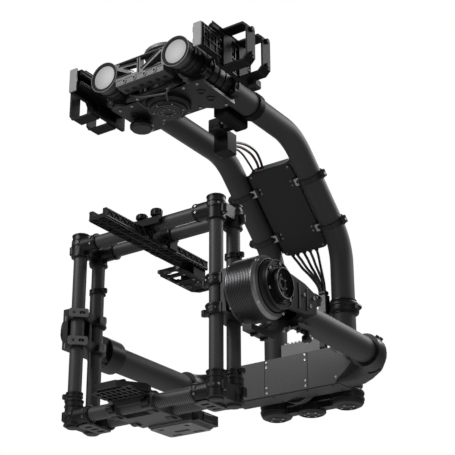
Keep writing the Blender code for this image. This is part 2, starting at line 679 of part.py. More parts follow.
def build_tilt_mounts():
    def arm_ring(side, y0, y1):
        bore = circle(side * ARM_X, 0, BIG_R + 0.3, TUBE_SIDES)
        return flat([circle(side * ARM_X, 0, 33, 24), bore], y1 - y0, (0, (y0 + y1) / 2, 0), X_AXIS, Z_AXIS)

    lug = box((241, 104, -20), (257.7, 122, 20))
    under_bar = box((219, 104, -37), (237, 158, -28))
    outline = [(-22, -76), (50, -76), (84, -42), (112, -36), (112, -24), (78, -30), (46, -62), (-22, -66)]
    gusset = flat([outline], 18, (213, 0, 0), Y_AXIS, Z_AXIS)
    clamp = join(arm_ring(1, 104, 124), [lug, under_bar, gusset])
    part("arm_clamp_right", clamp, "black_anodised", "roll_arm")
    bracket = flat([[(121, 18), (84, 28)] + circle(0, 0, 43, 20, 50, 310) + [(84, -28), (121, -18)],
                    circle(0, 0, 27.5, 24)], 7, (261.5, 0, 0), Y_AXIS, Z_AXIS)
    part("tilt_bracket", bracket, "black_anodised", "roll_arm")
    stator = turned([(0, 272), (21, 272), (21, HUB_X), (27, HUB_X), (27, 257.6), (41, 257.6), (45, 252.5),
                     (45, 194), (0, 194)], (0, 0, 0), X_AXIS)
    part("tilt_stator", stator, "dark_machined", "roll_arm")
    outline = [(108, 24), (60, 26)] + circle(0, 0, 19, 14, 80, 280)
    outline += [(60, -26), (108, -24), (113, -20), (113, 20)]
    left_plate = flat([outline, circle(0, 0, 12, 16)], 11, (-196, 0, 0), Y_AXIS, Z_AXIS)
    part("arm_clamp_left", join(arm_ring(-1, 110, 150), [left_plate]), "black_anodised", "roll_arm")


def build_arm():
    joint_empty("roll_arm", (0, BOX_REAR, 0), "roll_stage")
    build_roll_box()
    build_tilt_mounts()
    joint_empty("arm_knob_body", (228, 146, -42), "roll_arm")
    knob = turned([(0, -37.3), (4, -37.3), (4, -42), (8, -42), (9, -44), (9, -52), (7, -54), (0, -54)],
                  (228, 146, 0), Z_AXIS, 12)
    part("arm_knob", knob, "black_anodised", "arm_knob_body")


# ---------------------------------------------------------------- tilting cradle
CLAMP_Z = ((-40, -21), (13, 32))      # heights of the clamps on the uprights


def build_cradle():
    joint_empty("cradle", (0, 0, 0), "roll_arm")
    can = turned([(0, 193), (46.5, 193), (46.5, CAN_X1), (48, CAN_X1), (CAN_R, 244), (CAN_R, 192),
                  (52, CAN_X0), (0, CAN_X0)], (0, 0, 0), X_AXIS, 32)
    part("tilt_can", can, "dark_machined", "cradle")
    for side in (-1, 1):
        bores = [rod((side * CAGE_X, y, -50), (side * CAGE_X, y, 50), SMALL_R + 0.4, SMALL_SIDES)
                 for y in (-CAGE_Y, CAGE_Y)]
        if side < 0:
            bores.append(rod((-146, 0, -50), (-146, 0, 50), 3.8, 8))
        web = box(*span(side * 169.5, side * 181, -36, 36, -39.5, 37.5))
        solids = []
        for z0, z1 in CLAMP_Z:
            rings = [rod((side * CAGE_X, y, z0), (side * CAGE_X, y, z1), 18, 16) for y in (-CAGE_Y, CAGE_Y)]
            ties = [box(*span(side * 141, side * 167, -18, 18, z0, z1)),
                    box(*span(side * 156, side * 172, -38, 38, z0 + 0.5, z1 - 0.5))]
            solids += rings + ties
        disc_end = CAN_X0 - GAP if side > 0 else CAN_X0
        disc = rod((side * 178, 0, 0), (side * disc_end, 0, 0), 40 if side > 0 else 34, 24)
        extra = [] if side > 0 else [rod((-180, 0, 0), (-203, 0, 0), 11.5, 16)]
        solid = join(cut(join(web, solids), bores), [disc] + extra)
        part("cradle_" + sides_of(side), solid, "black_anodised", "cradle")


# ---------------------------------------------------------------- cage
def build_corner(side, top):
    """Corner block: sleeves on two uprights and two cross tubes, tied by a web."""
    level = CAGE_TOP if top else CAGE_BOTTOM
    z0, z1 = (136, 182) if top else (-185, -137)
    web_z = (148, 172) if top else (-184, -155)
    web = box(*span(side * 141, side * 167, -26, 26, *web_z))
    solids = []
    bores = []
    for y in (-CAGE_Y, CAGE_Y):
        solids.append(rod((side * CAGE_X, y, z0), (side * CAGE_X, y, z1), 16.5, SMALL_SIDES))
        solids.append(rod((side * SLEEVE_END_X, y, level), (side * 150, y, level), 15.8, SMALL_SIDES))
        bores.append(rod((side * CAGE_X, y, z0 - 1), (side * CAGE_X, y, z1 + 1), SMALL_R + GAP,
                         SMALL_SIDES))
        bores.append(rod((side * (SLEEVE_END_X - 1), y, level), (side * (CROSS_END_X + GAP), y, level),
                         SMALL_R + GAP, SMALL_SIDES))
    name = "corner_%s_%s" % ("top" if top else "bottom", sides_of(side))
    part(name, cut(join(web, solids), bores), "black_anodised", "cage")


def build_cage():
    joint_empty("cage", (0, 0, 0), "cradle")
    for side in (-1, 1):
        for y, place_name in ((-CAGE_Y, "front"), (CAGE_Y, "rear")):
            upright = sleeve((side * CAGE_X, y, -181), (side * CAGE_X, y, 178), SMALL_R, SMALL_BORE,
                             SMALL_SIDES)
            part("upright_%s_%s" % (place_name, sides_of(side)), upright, "carbon_weave", "cage")
        for top in (True, False):
            build_corner(side, top)
    for z, level in ((CAGE_BOTTOM, "lower"), (CAGE_TOP, "upper")):
        for y, place_name in ((-CAGE_Y, "front"), (CAGE_Y, "rear")):
            cross = sleeve((-CROSS_END_X, y, z), (CROSS_END_X, y, z), SMALL_R, SMALL_BORE, SMALL_SIDES)
            part("cross_tube_%s_%s" % (level, place_name), cross, "carbon_weave", "cage")
    part("cage_height_rod", rod((-146, 0, -154.7), (-146, 0, 72), 3, 8), "silver", "cage")


# ---------------------------------------------------------------- camera plates and top rail
def build_bottom():
    joint_empty("saddle_body", (0, 0, CAGE_BOTTOM), "cage")
    saddle = box((-62, -44, -184), (31, 56, -156), 1.5)
    bores = [rod((-70, y, CAGE_BOTTOM), (40, y, CAGE_BOTTOM), SMALL_R + 0.4, SMALL_SIDES)
             for y in (-CAGE_Y, CAGE_Y)]
    waist = box((-44, -45, -190), (12, -10, -171))
    block = box((-47, 50, -188), (47, 120, -166), 2)
    groove = box((-30, 58, -175), (30, 130, -160))
    solid = join(cut(saddle, bores + [waist]), [cut(block, [groove])])
    part("cage_saddle", solid, "grey_machined", "saddle_body")
    joint_empty("plate_body", (0, 0, -155.5), "saddle_body")
    outline = [(-20, -115), (20, -115), (50, -72), (50, -56), (34, -46), (-34, -46), (-50, -56), (-50, -72)]
    front = flat([outline], 11, (-8, 0, -155), X_AXIS, Y_AXIS)
    tail = box((-42, -47, -155.5), (26, 60, -149.5))
    part("camera_plate", join(front, [tail]), "dark_machined", "plate_body")


def rail_clamp(side):
    """Split clamp on an upper cross tube, with lips that hold the rail's sides."""
    y = side * CAGE_Y
    ring = rod((-24, y, CAGE_TOP), (24, y, CAGE_TOP), 16, SMALL_SIDES)
    flatten = box((-19.4, y - 20, 140), (19.4, y + 20, 146.4))
    lips = [box(*span(s * 19.4, s * 23.8, y - 11, y + 11, 130, 152)) for s in (-1, 1)]
    solid = join(cut(ring, [flatten]), lips)
    bore = rod((-30, y, CAGE_TOP), (30, y, CAGE_TOP), SMALL_R + 0.4, SMALL_SIDES)
    return cut(solid, [bore])


def build_top():
    joint_empty("top_slider", (0, 0, CAGE_TOP), "cage")
    ledge = box((-6, -50, 152), (46, -40, 166))
    tie = box((-6, -42, 153), (23.5, -39.1, 165))
    knobs = [turned([(0, 177), (6, 177), (7.5, 175.5), (7.5, 169), (4, 168), (4, 164), (0, 164)],
                    (x, -45, 0), Z_AXIS, 12) for x in (4, 37)]
    part("rail_clamp_front", join(rail_clamp(-1), [tie, ledge] + knobs), "black_anodised", "top_slider")
    part("rail_clamp_rear", rail_clamp(1), "black_anodised", "top_slider")
    joint_empty("rail_body", (0, 0, 128.5), "top_slider")
    rail = box((-19, -163, 128.5), (19, 140, 145.9))
    channel = box((-11, -170, 136.5), (11, 150, 150))
    pockets = [box((x - 5, y, 127), (x + 5, y + 16, 131.5)) for x in (-10, 10) for y in range(-148, 30, 26)]
    part("top_rail", cut(rail, [channel] + pockets), "black_anodised", "rail_body")
    joint_empty("bracket_body", (0, 100, 98.5), "rail_body")
    outline = [(-25, 50), (-14, 33), (14, 33), (25, 50), (25, 148), (14, 160), (-14, 160), (-25, 148)]
    windows = [rounded(-15, 46, 15, 62, 4), rounded(-17, 70, 17, 92, 4), rounded(-14, 144, 14, 152, 3)]
    plate = flat([outline] + windows, 5, (0, 0, 98.5), X_AXIS, Y_AXIS)
    riser = box((-15, 100, 100), (15, 138, 128))
    part("camera_bracket", join(plate, [riser]), "black_anodised", "bracket_body")


build_mount()
build_head()
build_boom()
build_stage()
build_arm()
build_cradle()
build_cage()
build_bottom()
build_top()
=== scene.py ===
"""Looks of the gimbal stabilizer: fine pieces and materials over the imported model."""
import math

import bmesh
import bpy
from mathutils import Matrix, Vector


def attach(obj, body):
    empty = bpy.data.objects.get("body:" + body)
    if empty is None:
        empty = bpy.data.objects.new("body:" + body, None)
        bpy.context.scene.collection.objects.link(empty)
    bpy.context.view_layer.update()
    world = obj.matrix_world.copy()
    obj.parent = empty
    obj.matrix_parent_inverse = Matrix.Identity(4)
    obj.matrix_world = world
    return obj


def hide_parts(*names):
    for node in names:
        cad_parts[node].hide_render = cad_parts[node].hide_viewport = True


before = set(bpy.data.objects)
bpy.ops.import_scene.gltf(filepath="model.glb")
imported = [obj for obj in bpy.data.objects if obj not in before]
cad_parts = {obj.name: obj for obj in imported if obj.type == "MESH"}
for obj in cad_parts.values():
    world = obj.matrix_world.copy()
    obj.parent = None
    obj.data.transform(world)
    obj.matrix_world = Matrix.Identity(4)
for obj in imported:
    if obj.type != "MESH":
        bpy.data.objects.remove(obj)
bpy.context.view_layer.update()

# Lengths are in millimetres from the gimbal centre, where the roll and tilt axes cross, as in the CAD.
MM = 0.001
PAN_Y = 34.0
MOUNT_Z = 556.0
CAGE_X, CAGE_Y, CAGE_TOP, CAGE_BOTTOM = 154.0, 26.25, 160.0, -168.6
ARM_X = 213.7
BOOM_X, BOOM_Z, BOOM_REAR_Y = 85.0, 486.0, 543.0
X_AXIS, Y_AXIS, Z_AXIS = Vector((1, 0, 0)), Vector((0, 1, 0)), Vector((0, 0, 1))
SIDES = ((-1, "left"), (1, "right"))


def place(x, y, z):
    """Millimetres from the gimbal centre to metres in the model's frame."""
    return Vector((x, y - PAN_Y, z - MOUNT_Z)) * MM


# ---------------------------------------------------------------- materials
def link(tree, a, output, b, socket):
    """Join a named output of one shader node to a named input of another."""
    tree.links.new(a.outputs[output], b.inputs[socket])


def node(tree, kind, **values):
    """New shader node, its inputs and settings given by name."""
    made = tree.nodes.new(kind)
    for name, value in values.items():
        if name in made.inputs:
            made.inputs[name].default_value = value
        else:
            setattr(made, name, value)
    return made


def principled(name, colour, roughness, metallic):
    """New material, with its node tree and its Principled shader."""
    mat = bpy.data.materials.new(name)
    mat.use_nodes = True
    shader = mat.node_tree.nodes["Principled BSDF"]
    shader.inputs["Base Color"].default_value = (*colour, 1.0)
    shader.inputs["Roughness"].default_value = roughness
    shader.inputs["Metallic"].default_value = metallic
    return mat, mat.node_tree, shader


def math_node(tree, operation, a, b=None):
    """Output of a Math node whose values are numbers or other outputs."""
    made = tree.nodes.new("ShaderNodeMath")
    made.operation = operation
    for socket, value in ((0, a), (1, b)):
        if value is None:
            continue
        if isinstance(value, (int, float)):
            made.inputs[socket].default_value = value
        else:
            tree.links.new(value, made.inputs[socket])
    return made.outputs[0]


def mottled(name, colour, roughness, metallic, spread=0.25, scale=260.0, grain=2600.0, bump=0.08,
            stretch=(1, 1, 1), specular=0.5):
    """Metal or plastic with a soft change of tone, a varying sheen and a fine grain."""
    mat, tree, shader = principled(name, colour, roughness, metallic)
    shader.inputs["Specular IOR Level"].default_value = specular
    coords = tree.nodes.new("ShaderNodeTexCoord")
    mapping = node(tree, "ShaderNodeMapping", Scale=stretch)
    link(tree, coords, "Object", mapping, "Vector")
    soft = node(tree, "ShaderNodeTexNoise", Scale=scale * 0.25, Detail=3.0, Roughness=0.55)
    fine = node(tree, "ShaderNodeTexNoise", Scale=grain, Detail=2.0)
    link(tree, mapping, "Vector", soft, "Vector")
    link(tree, mapping, "Vector", fine, "Vector")
    ramp = tree.nodes.new("ShaderNodeMapRange")
    ramp.inputs["To Min"].default_value = 1.0 - spread
    ramp.inputs["To Max"].default_value = 1.0 + spread
    link(tree, soft, "Fac", ramp, "Value")
    tone = node(tree, "ShaderNodeMix", data_type="RGBA", blend_type="MULTIPLY")
    tone.inputs["Factor"].default_value = 1.0
    tone.inputs[6].default_value = (*colour, 1.0)
    tree.links.new(ramp.outputs["Result"], tone.inputs[7])
    tree.links.new(tone.outputs[2], shader.inputs["Base Color"])
    sheen = tree.nodes.new("ShaderNodeMapRange")
    sheen.inputs["To Min"].default_value = max(0.05, roughness - 0.09)
    sheen.inputs["To Max"].default_value = min(1.0, roughness + 0.09)
    link(tree, fine, "Fac", sheen, "Value")
    tree.links.new(sheen.outputs["Result"], shader.inputs["Roughness"])
    relief = node(tree, "ShaderNodeBump", Strength=bump, Distance=0.0002)
    link(tree, fine, "Fac", relief, "Height")
    link(tree, relief, "Normal", shader, "Normal")
    return mat


def twill(name, dark, light, tow, roughness, coat, run=4.0):
    """Carbon twill on a UV map that is laid out in metres; tow is one tow's width in millimetres."""
    mat, tree, shader = principled(name, dark, roughness, 0.0)
    shader.inputs["Coat Weight"].default_value = coat
    shader.inputs["Coat Roughness"].default_value = 0.18
    uv = tree.nodes.new("ShaderNodeUVMap")
    split = tree.nodes.new("ShaderNodeSeparateXYZ")
    link(tree, uv, "UV", split, "Vector")
    u = math_node(tree, "MULTIPLY", split.outputs["X"], 1.0 / (tow * MM))
    v = math_node(tree, "MULTIPLY", split.outputs["Y"], 1.0 / (tow * MM))
    step = math_node(tree, "ADD", math_node(tree, "FLOOR", u), math_node(tree, "FLOOR", v))
    phase = math_node(tree, "FRACT", math_node(tree, "MULTIPLY", step, 1.0 / run))
    over = math_node(tree, "LESS_THAN", phase, 0.5)
    round_u = math_node(tree, "SINE", math_node(tree, "MULTIPLY", math_node(tree, "FRACT", u), math.pi))
    round_v = math_node(tree, "SINE", math_node(tree, "MULTIPLY", math_node(tree, "FRACT", v), math.pi))
    swap = node(tree, "ShaderNodeMix", data_type="FLOAT")
    for socket, value in (("Factor", over), ("A", round_v), ("B", round_u)):
        tree.links.new(value, swap.inputs[socket])
    tone = node(tree, "ShaderNodeMix", data_type="RGBA")
    tone.inputs[6].default_value = (*dark, 1.0)
    tone.inputs[7].default_value = (*light, 1.0)
    height = math_node(tree, "MULTIPLY", swap.outputs[0], 0.6)
    lit = math_node(tree, "MULTIPLY", over, math_node(tree, "ADD", height, 0.4))
    tree.links.new(lit, tone.inputs[0])
    tree.links.new(tone.outputs[2], shader.inputs["Base Color"])
    relief = node(tree, "ShaderNodeBump", Strength=0.25, Distance=0.00015)
    tree.links.new(swap.outputs[0], relief.inputs["Height"])
    link(tree, relief, "Normal", shader, "Normal")
    return mat


# Colour, roughness, metallic value, and what differs from the usual mottling.
FINISHES = {
    "black_anodised": ((0.010, 0.010, 0.011), 0.38, 0.3, {}),
    "deep_black": ((0.006, 0.006, 0.0065), 0.5, 0.0, {"spread": 0.2, "specular": 0.12}),
    "deep_edge": ((0.022, 0.022, 0.023), 0.42, 0.1, {"specular": 0.3}),
    "black_edge": ((0.055, 0.055, 0.058), 0.34, 0.6, {}),
    "dark_machined": ((0.022, 0.022, 0.024), 0.36, 0.45, {}),
    "dark_edge": ((0.10, 0.10, 0.105), 0.32, 0.7, {}),
    "ribbed_metal": ((0.10, 0.10, 0.104), 0.32, 0.75, {"stretch": (1, 6, 6)}),
    "lip_metal": ((0.26, 0.26, 0.265), 0.28, 0.9, {}),
    "grey_machined": ((0.085, 0.085, 0.088), 0.42, 0.4, {}),
    "grey_edge": ((0.24, 0.24, 0.245), 0.34, 0.6, {}),
    "light_machined": ((0.18, 0.18, 0.183), 0.45, 0.3, {"spread": 0.12}),
    "light_edge": ((0.30, 0.30, 0.305), 0.36, 0.5, {"spread": 0.1}),
    "silver_face": ((0.46, 0.46, 0.46), 0.50, 0.2, {"spread": 0.12, "scale": 90, "grain": 1500, "bump": 0.2}),
    "silver": ((0.55, 0.55, 0.56), 0.26, 0.9, {"spread": 0.1}),
    "satin_tube": ((0.034, 0.034, 0.035), 0.58, 0.0,
                   {"spread": 0.12, "scale": 60, "grain": 1800, "bump": 0.06}),
    "case_black": ((0.009, 0.009, 0.0095), 0.50, 0.1,
                   {"spread": 0.1, "scale": 120, "grain": 1400, "bump": 0.25}),
    "cable_black": ((0.008, 0.008, 0.008), 0.40, 0.0, {"spread": 0.2}),
    "cable_red": ((0.075, 0.010, 0.010), 0.40, 0.0, {"spread": 0.2}),
    # Pure black: the pads' own colour, and painted shade in holes and in the gaps beside the case.
    "pad_and_shade_black": ((0.003, 0.003, 0.003), 0.6, 0.0, {}),
}
MATERIALS = {name: mottled(name, *look, **more) for name, (*look, more) in FINISHES.items()}
# Dark and light tone, width of one tow, roughness and coat.
for name, look in (("carbon_weave", ((0.007, 0.007, 0.008), (0.115, 0.115, 0.118), 1.1, 0.50, 0.05)),
                   ("carbon_plate", ((0.022, 0.022, 0.023), (0.125, 0.125, 0.127), 1.15, 0.45, 0.1))):
    MATERIALS[name] = twill(name, *look)
# Softened edges that are lighter than the faces, and slots that aren't named for the material itself.
EDGES = {"deep_black": "deep_edge", "black_anodised": "black_edge", "dark_machined": "dark_edge",
         "ribbed_metal": "dark_edge", "grey_machined": "grey_edge", "light_machined": "light_edge",
         "lip_metal": "silver", "silver_face": "silver", "case_black": "dark_machined"}


# ---------------------------------------------------------------- pieces
def soften(obj, width, segments=2, crease=35):
    """Bevel an object's sharp edges, in its second material."""
    edge = obj.modifiers.new("edges", "BEVEL")
    edge.width = width * MM
    edge.segments = segments
    edge.limit_method = "ANGLE"
    edge.angle_limit = math.radians(crease)
    edge.material = 1
    edge.harden_normals = True


def piece(name, shape, material, body, replaced=(), bevel=0.0, segments=2, crease=35):
    """Put a mesh, or a list of meshes as one, on a body, with the CAD nodes that it stands for."""
    mesh = merged(shape) if isinstance(shape, list) else shape
    mesh.name = name
    for slot_material in (material, EDGES.get(material, material)):
        mesh.materials.append(MATERIALS[slot_material])
    mesh.shade_smooth()
    mesh.set_sharp_from_angle(angle=math.radians(crease))
    obj = bpy.data.objects.new(name, mesh)
    bpy.context.scene.collection.objects.link(obj)
    if bevel:
        soften(obj, bevel, segments, crease)
    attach(obj, body)
    if replaced:
        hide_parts(*replaced)
    return obj


def from_bmesh(bm):
    """New mesh from a bmesh, its faces turned outwards."""
    bmesh.ops.recalc_face_normals(bm, faces=bm.faces)
    mesh = bpy.data.meshes.new("piece")
    bm.to_mesh(mesh)
    bm.free()
    return mesh


def merged(meshes):
    """Several meshes in one, their UV maps kept."""
    bm = bmesh.new()
    for mesh in meshes:
        bm.from_mesh(mesh)
        bpy.data.meshes.remove(mesh)
    mesh = bpy.data.meshes.new("merged")
    bm.to_mesh(mesh)
    bm.free()
    return mesh


def along(axis):
    """Turn that takes +Z to an axis."""
    return axis.to_track_quat("Z", "Y").to_matrix().to_4x4() if axis != Z_AXIS else Matrix.Identity(4)


def lathe(profile, centre, axis, sides=48):
    """Turned shape from a profile of (radius, height) about an axis, laid out in metres on its UV map."""
    matrix = Matrix.Translation(place(*centre)) @ along(axis)
    bm = bmesh.new()
    uv = bm.loops.layers.uv.new("UVMap")
    rings = []
    turns = [2 * math.pi * i / sides for i in range(sides)]
    for radius, height in profile:
        if radius == 0:
            rings.append([bm.verts.new(matrix @ Vector((0, 0, height * MM)))])
            continue
        ring = [Vector((math.cos(a) * radius, math.sin(a) * radius, height)) * MM for a in turns]
        rings.append([bm.verts.new(matrix @ spot) for spot in ring])
    widest = max(radius for radius, _ in profile)
    run = 0.0
    for (ra, ha), (rb, hb), a, b in zip(profile, profile[1:], rings, rings[1:]):
        step = math.hypot(rb - ra, hb - ha) * MM
        for i in range(sides):
            j = (i + 1) % sides
            corners = [a[i % len(a)], a[j % len(a)], b[j % len(b)], b[i % len(b)]]
            spots = [(i, run), (i + 1, run), (i + 1, run + step), (i, run + step)]
            kept = [(c, s) for k, (c, s) in enumerate(zip(corners, spots)) if c not in corners[:k]]
            if len(kept) < 3:
                continue
            face = bm.faces.new([c for c, _ in kept])
            for loop, (_, (turn, length)) in zip(face.loops, kept):
                loop[uv].uv = (turn / sides * 2 * math.pi * widest * MM, length)
        run += step
    return from_bmesh(bm)


def pipe(points, radius, sides=32):
    """Round bar along points in millimetres, laid out in metres on its UV map."""
    spots = [place(*p) for p in points]
    bm = bmesh.new()
    uv = bm.loops.layers.uv.new("UVMap")
    tangents = []
    for i in range(len(spots)):
        before = spots[i] - spots[max(i - 1, 0)]
        after = spots[min(i + 1, len(spots) - 1)] - spots[i]
        tangents.append((before.normalized() + after.normalized()).normalized())
    side = tangents[0].orthogonal().normalized()
    rings = []
    for spot, tangent in zip(spots, tangents):
        side = (side - tangent * side.dot(tangent)).normalized()
        up = tangent.cross(side)
        rings.append([bm.verts.new(spot + (side * math.cos(a) + up * math.sin(a)) * radius * MM)
                      for a in (2 * math.pi * i / sides for i in range(sides))])
    run = 0.0
    for a, b, p, q in zip(rings, rings[1:], spots, spots[1:]):
        step = (q - p).length
        for i in range(sides):
            j = (i + 1) % sides
            face = bm.faces.new((a[i], a[j], b[j], b[i]))
            laid = ((i, run), (i + 1, run), (i + 1, run + step), (i, run + step))
            for loop, (turn, length) in zip(face.loops, laid):
                loop[uv].uv = (turn / sides * 2 * math.pi * radius * MM, length)
        run += step
    bm.faces.new(list(reversed(rings[0])))
    bm.faces.new(rings[-1])
    return from_bmesh(bm)


def polar(radius, angle):
    """Point on a circle about zero, at an angle in degrees."""
    return radius * math.cos(math.radians(angle)), radius * math.sin(math.radians(angle))


def circle(cu, cv, radius, sides=32, start=0.0, end=360.0):
    """Outline of a circle, or of an arc with both its ends."""
    full = end - start >= 360.0
    count = sides if full else sides + 1
    return [(cu + radius * math.cos(math.radians(start + (end - start) * i / sides)),
             cv + radius * math.sin(math.radians(start + (end - start) * i / sides))) for i in range(count)]


def rounded(u0, v0, u1, v1, r, sides=4):
    """Outline of a rectangle with round corners; it stops just short of the point it started from."""
    return (circle(u1 - r, v1 - r, r, sides, 0, 90) + circle(u0 + r, v1 - r, r, sides, 90, 180)
            + circle(u0 + r, v0 + r, r, sides, 180, 270) + circle(u1 - r, v0 + r, r, sides, 270, 359.999))


def mirrored(side, outline):
    """Outline given for the right side, on either side."""
    return [(side * u, v) for u, v in outline]


def flat(loops, thickness, centre, u_axis, v_axis):
    """Flat plate with holes, its front and back laid out in metres on its UV map."""
    curve = bpy.data.curves.new("outline", "CURVE")
    curve.dimensions = "2D"
    curve.fill_mode = "BOTH"
    curve.extrude = thickness * MM / 2
    for loop in loops:
        spline = curve.splines.new("POLY")
        spline.points.add(len(loop) - 1)
        for point, (u, v) in zip(spline.points, loop):
            point.co = (u * MM, v * MM, 0.0, 1.0)
        spline.use_cyclic_u = True
    obj = bpy.data.objects.new("outline", curve)
    bpy.context.scene.collection.objects.link(obj)
    mesh = bpy.data.meshes.new_from_object(obj.evaluated_get(bpy.context.evaluated_depsgraph_get()))
    bpy.data.objects.remove(obj, do_unlink=True)
    bpy.data.curves.remove(curve)
    bm = bmesh.new()
    bm.from_mesh(mesh)
    bpy.data.meshes.remove(mesh)
    bmesh.ops.remove_doubles(bm, verts=bm.verts, dist=1e-6)
    bmesh.ops.dissolve_limit(bm, angle_limit=0.001, verts=bm.verts, edges=bm.edges)
    uv = bm.loops.layers.uv.verify()
    for face in bm.faces:
        for loop in face.loops:
            loop[uv].uv = (loop.vert.co.x, loop.vert.co.y)
    rows = Matrix((u_axis, v_axis, u_axis.cross(v_axis))).transposed().to_4x4()
    bmesh.ops.transform(bm, matrix=Matrix.Translation(place(*centre)) @ rows, verts=bm.verts)
    return from_bmesh(bm)


def block(lo, hi):
    """Box between two corners, to be given soft edges."""
    a, b = place(*lo), place(*hi)
    low = Vector(map(min, a, b))
    high = Vector(map(max, a, b))
    bm = bmesh.new()
    bmesh.ops.create_cube(bm, size=1.0)
    bmesh.ops.scale(bm, vec=high - low, verts=bm.verts)
    bmesh.ops.translate(bm, vec=(low + high) / 2, verts=bm.verts)
    return from_bmesh(bm)


def screw(centre, axis, radius=3.2, height=2.6, socket=0.5):
    """Cap screw head with a rounded rim and a socket, standing on a surface along axis."""
    r, h = radius, height
    profile = [(0, h * 0.35), (r * socket, h * 0.35), (r * socket, h), (r - 0.5, h), (r, h - 0.5), (r, -0.4),
               (0, -0.4)]
    return lathe(profile, centre, axis, 12)


def screws(name, spots, axis, body, radius=3.2, height=2.6, material="silver"):
    """One piece that holds a set of like screws: spots are their seats."""
    piece(name, [screw(spot, axis, radius, height) for spot in spots], material, body)


def band(inner, outer, low, high, centre, axis, sides=64):
    """Flat ring, open towards the surface that it lies on."""
    return lathe([(inner, low), (inner, high), (outer, high), (outer, low)], centre, axis, sides)


def rib(inner, outer, low, high, slope, centre, axis, sides=40):
    """Raised ring with sloping flanks, round a tube or clamp."""
    profile = [(inner, low), (outer, low + slope), (outer, high - slope), (inner, high)]
    return lathe(profile, centre, axis, sides)


def disc(radius, first, last, centre, axis, sides=24):
    """Plain round bar between two heights."""
    return lathe([(0, first), (radius, first), (radius, last), (0, last)], centre, axis, sides)


def boss(radius, half, rim, centre, axis=Z_AXIS, sides=24):
    """Short round bar about its centre, its edges cut back by rim along the radius and the axis."""
    r, h = radius - rim[0], half - rim[1]
    profile = [(0, half), (r, half), (radius, h), (radius, -h), (r, -half), (0, -half)]
    return lathe(profile, centre, axis, sides)


def level_ring(radius, angles, x, y, z):
    """Points on a level circle, at angles in degrees from +X."""
    return [(x + u, y + v, z) for u, v in (polar(radius, angle) for angle in angles)]


# ---------------------------------------------------------------- CAD nodes
CAD_BEVEL = 0.6
CAD_FINISHES = {
    "deep_black": "battery_rail_left battery_rail_right battery_loops_left battery_loops_right power_block "
                  "top_rail camera_bracket tilt_bracket rail_clamp_front rail_clamp_rear",
    "black_anodised": "pan_stator pan_can boom_foot stage_clamp roll_stator arm_knob cradle_left "
                      "cradle_right corner_bottom_left corner_bottom_right corner_top_left corner_top_right "
                      "head_base_plate arm_clamp_left arm_clamp_right boom_collar_left boom_collar_right "
                      "camera_plate",
    "dark_machined": "roll_box roll_box_end_left roll_box_end_right head_clamp_left head_clamp_right "
                     "case_clamp_upper case_clamp_lower accessory_port",
    "grey_machined": "head_front_truss cage_saddle cage_height_rod",
    "light_machined": "mount_plate stage_plate",
    "case_black": "case_body",
}


def refine(node_name, material):
    """Give a CAD node its material, smooth shading and softened edges; its mesh stays as it is."""
    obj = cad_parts[node_name]
    obj.data.materials.clear()
    obj.data.materials.append(MATERIALS[material])
    obj.data.materials.append(MATERIALS[EDGES.get(material, material)])
    if "custom_normal" in obj.data.attributes:
        obj.data.attributes.remove(obj.data.attributes["custom_normal"])
    obj.data.shade_smooth()
    weld = obj.modifiers.new("weld", "WELD")
    weld.merge_threshold = 0.000001
    soften(obj, CAD_BEVEL)


def finish_cad_nodes():
    """Finish the CAD nodes that no finer piece stands for."""
    for material, names in CAD_FINISHES.items():
        for name in names.split():
            refine(name, material)


# ---------------------------------------------------------------- tubes
ROWS = ((-CAGE_Y, "front"), (CAGE_Y, "rear"))
BEND_RADIUS, BEND_STEPS = 110, 14


def straight_tubes():
    """Uprights and cross tubes of the cage, and the two arm tubes."""
    for side, label in SIDES:
        for y, where in ROWS:
            name = "upright_%s_%s" % (where, label)
            profile = [(10.5, -181), (12.1, -181), (12.5, -180.6), (12.5, 177.6), (12.1, 178), (10.5, 178)]
            mesh = lathe(profile, (side * CAGE_X, y, 0), Z_AXIS)
            piece(name + "_fine", mesh, "carbon_weave", "cage", [name])
    for z, level in ((CAGE_BOTTOM, "lower"), (CAGE_TOP, "upper")):
        for y, where in ROWS:
            name = "cross_tube_%s_%s" % (level, where)
            mesh = lathe([(10.5, -139), (12.5, -139), (12.5, 139), (10.5, 139)], (0, y, z), X_AXIS)
            piece(name + "_fine", mesh, "carbon_weave", "cage", [name])
    for side, label in SIDES:
        mesh = lathe([(22, 116), (24.4, 116), (25, 116.6), (25, 413.4), (24.4, 414), (22, 414)],
                     (side * ARM_X, 0, 0), Y_AXIS, 64)
        piece("arm_tube_%s_fine" % label, mesh, "satin_tube", "roll_arm", ["arm_tube_" + label])


def bend(corner, before, after):
    """Points of the round bend that joins two straight runs at their corner."""
    corner, before, after = Vector(corner), Vector(before).normalized(), Vector(after).normalized()
    angle = before.angle(after)
    start = corner - before * BEND_RADIUS * math.tan(angle / 2)
    inward = (after - before * before.dot(after)).normalized()
    centre = start + inward * BEND_RADIUS
    turns = [angle * i / BEND_STEPS for i in range(BEND_STEPS + 1)]
    return [tuple(centre - inward * BEND_RADIUS * math.cos(t) + before * BEND_RADIUS * math.sin(t))
            for t in turns]


CORNER_A, CORNER_B = Vector((0, 350, BOOM_Z)), Vector((0, BOOM_REAR_Y, 309))
SLOPE = (CORNER_B - CORNER_A).normalized()
NORMAL = X_AXIS.cross(SLOPE)
CASE_ORIGIN = CORNER_A + SLOPE * 139.0


def on_slope(u, s, n):
    """Point across, along and above the sloping run of the boom, from a point inside the case."""
    return tuple(CASE_ORIGIN + X_AXIS * u + SLOPE * s + NORMAL * n)


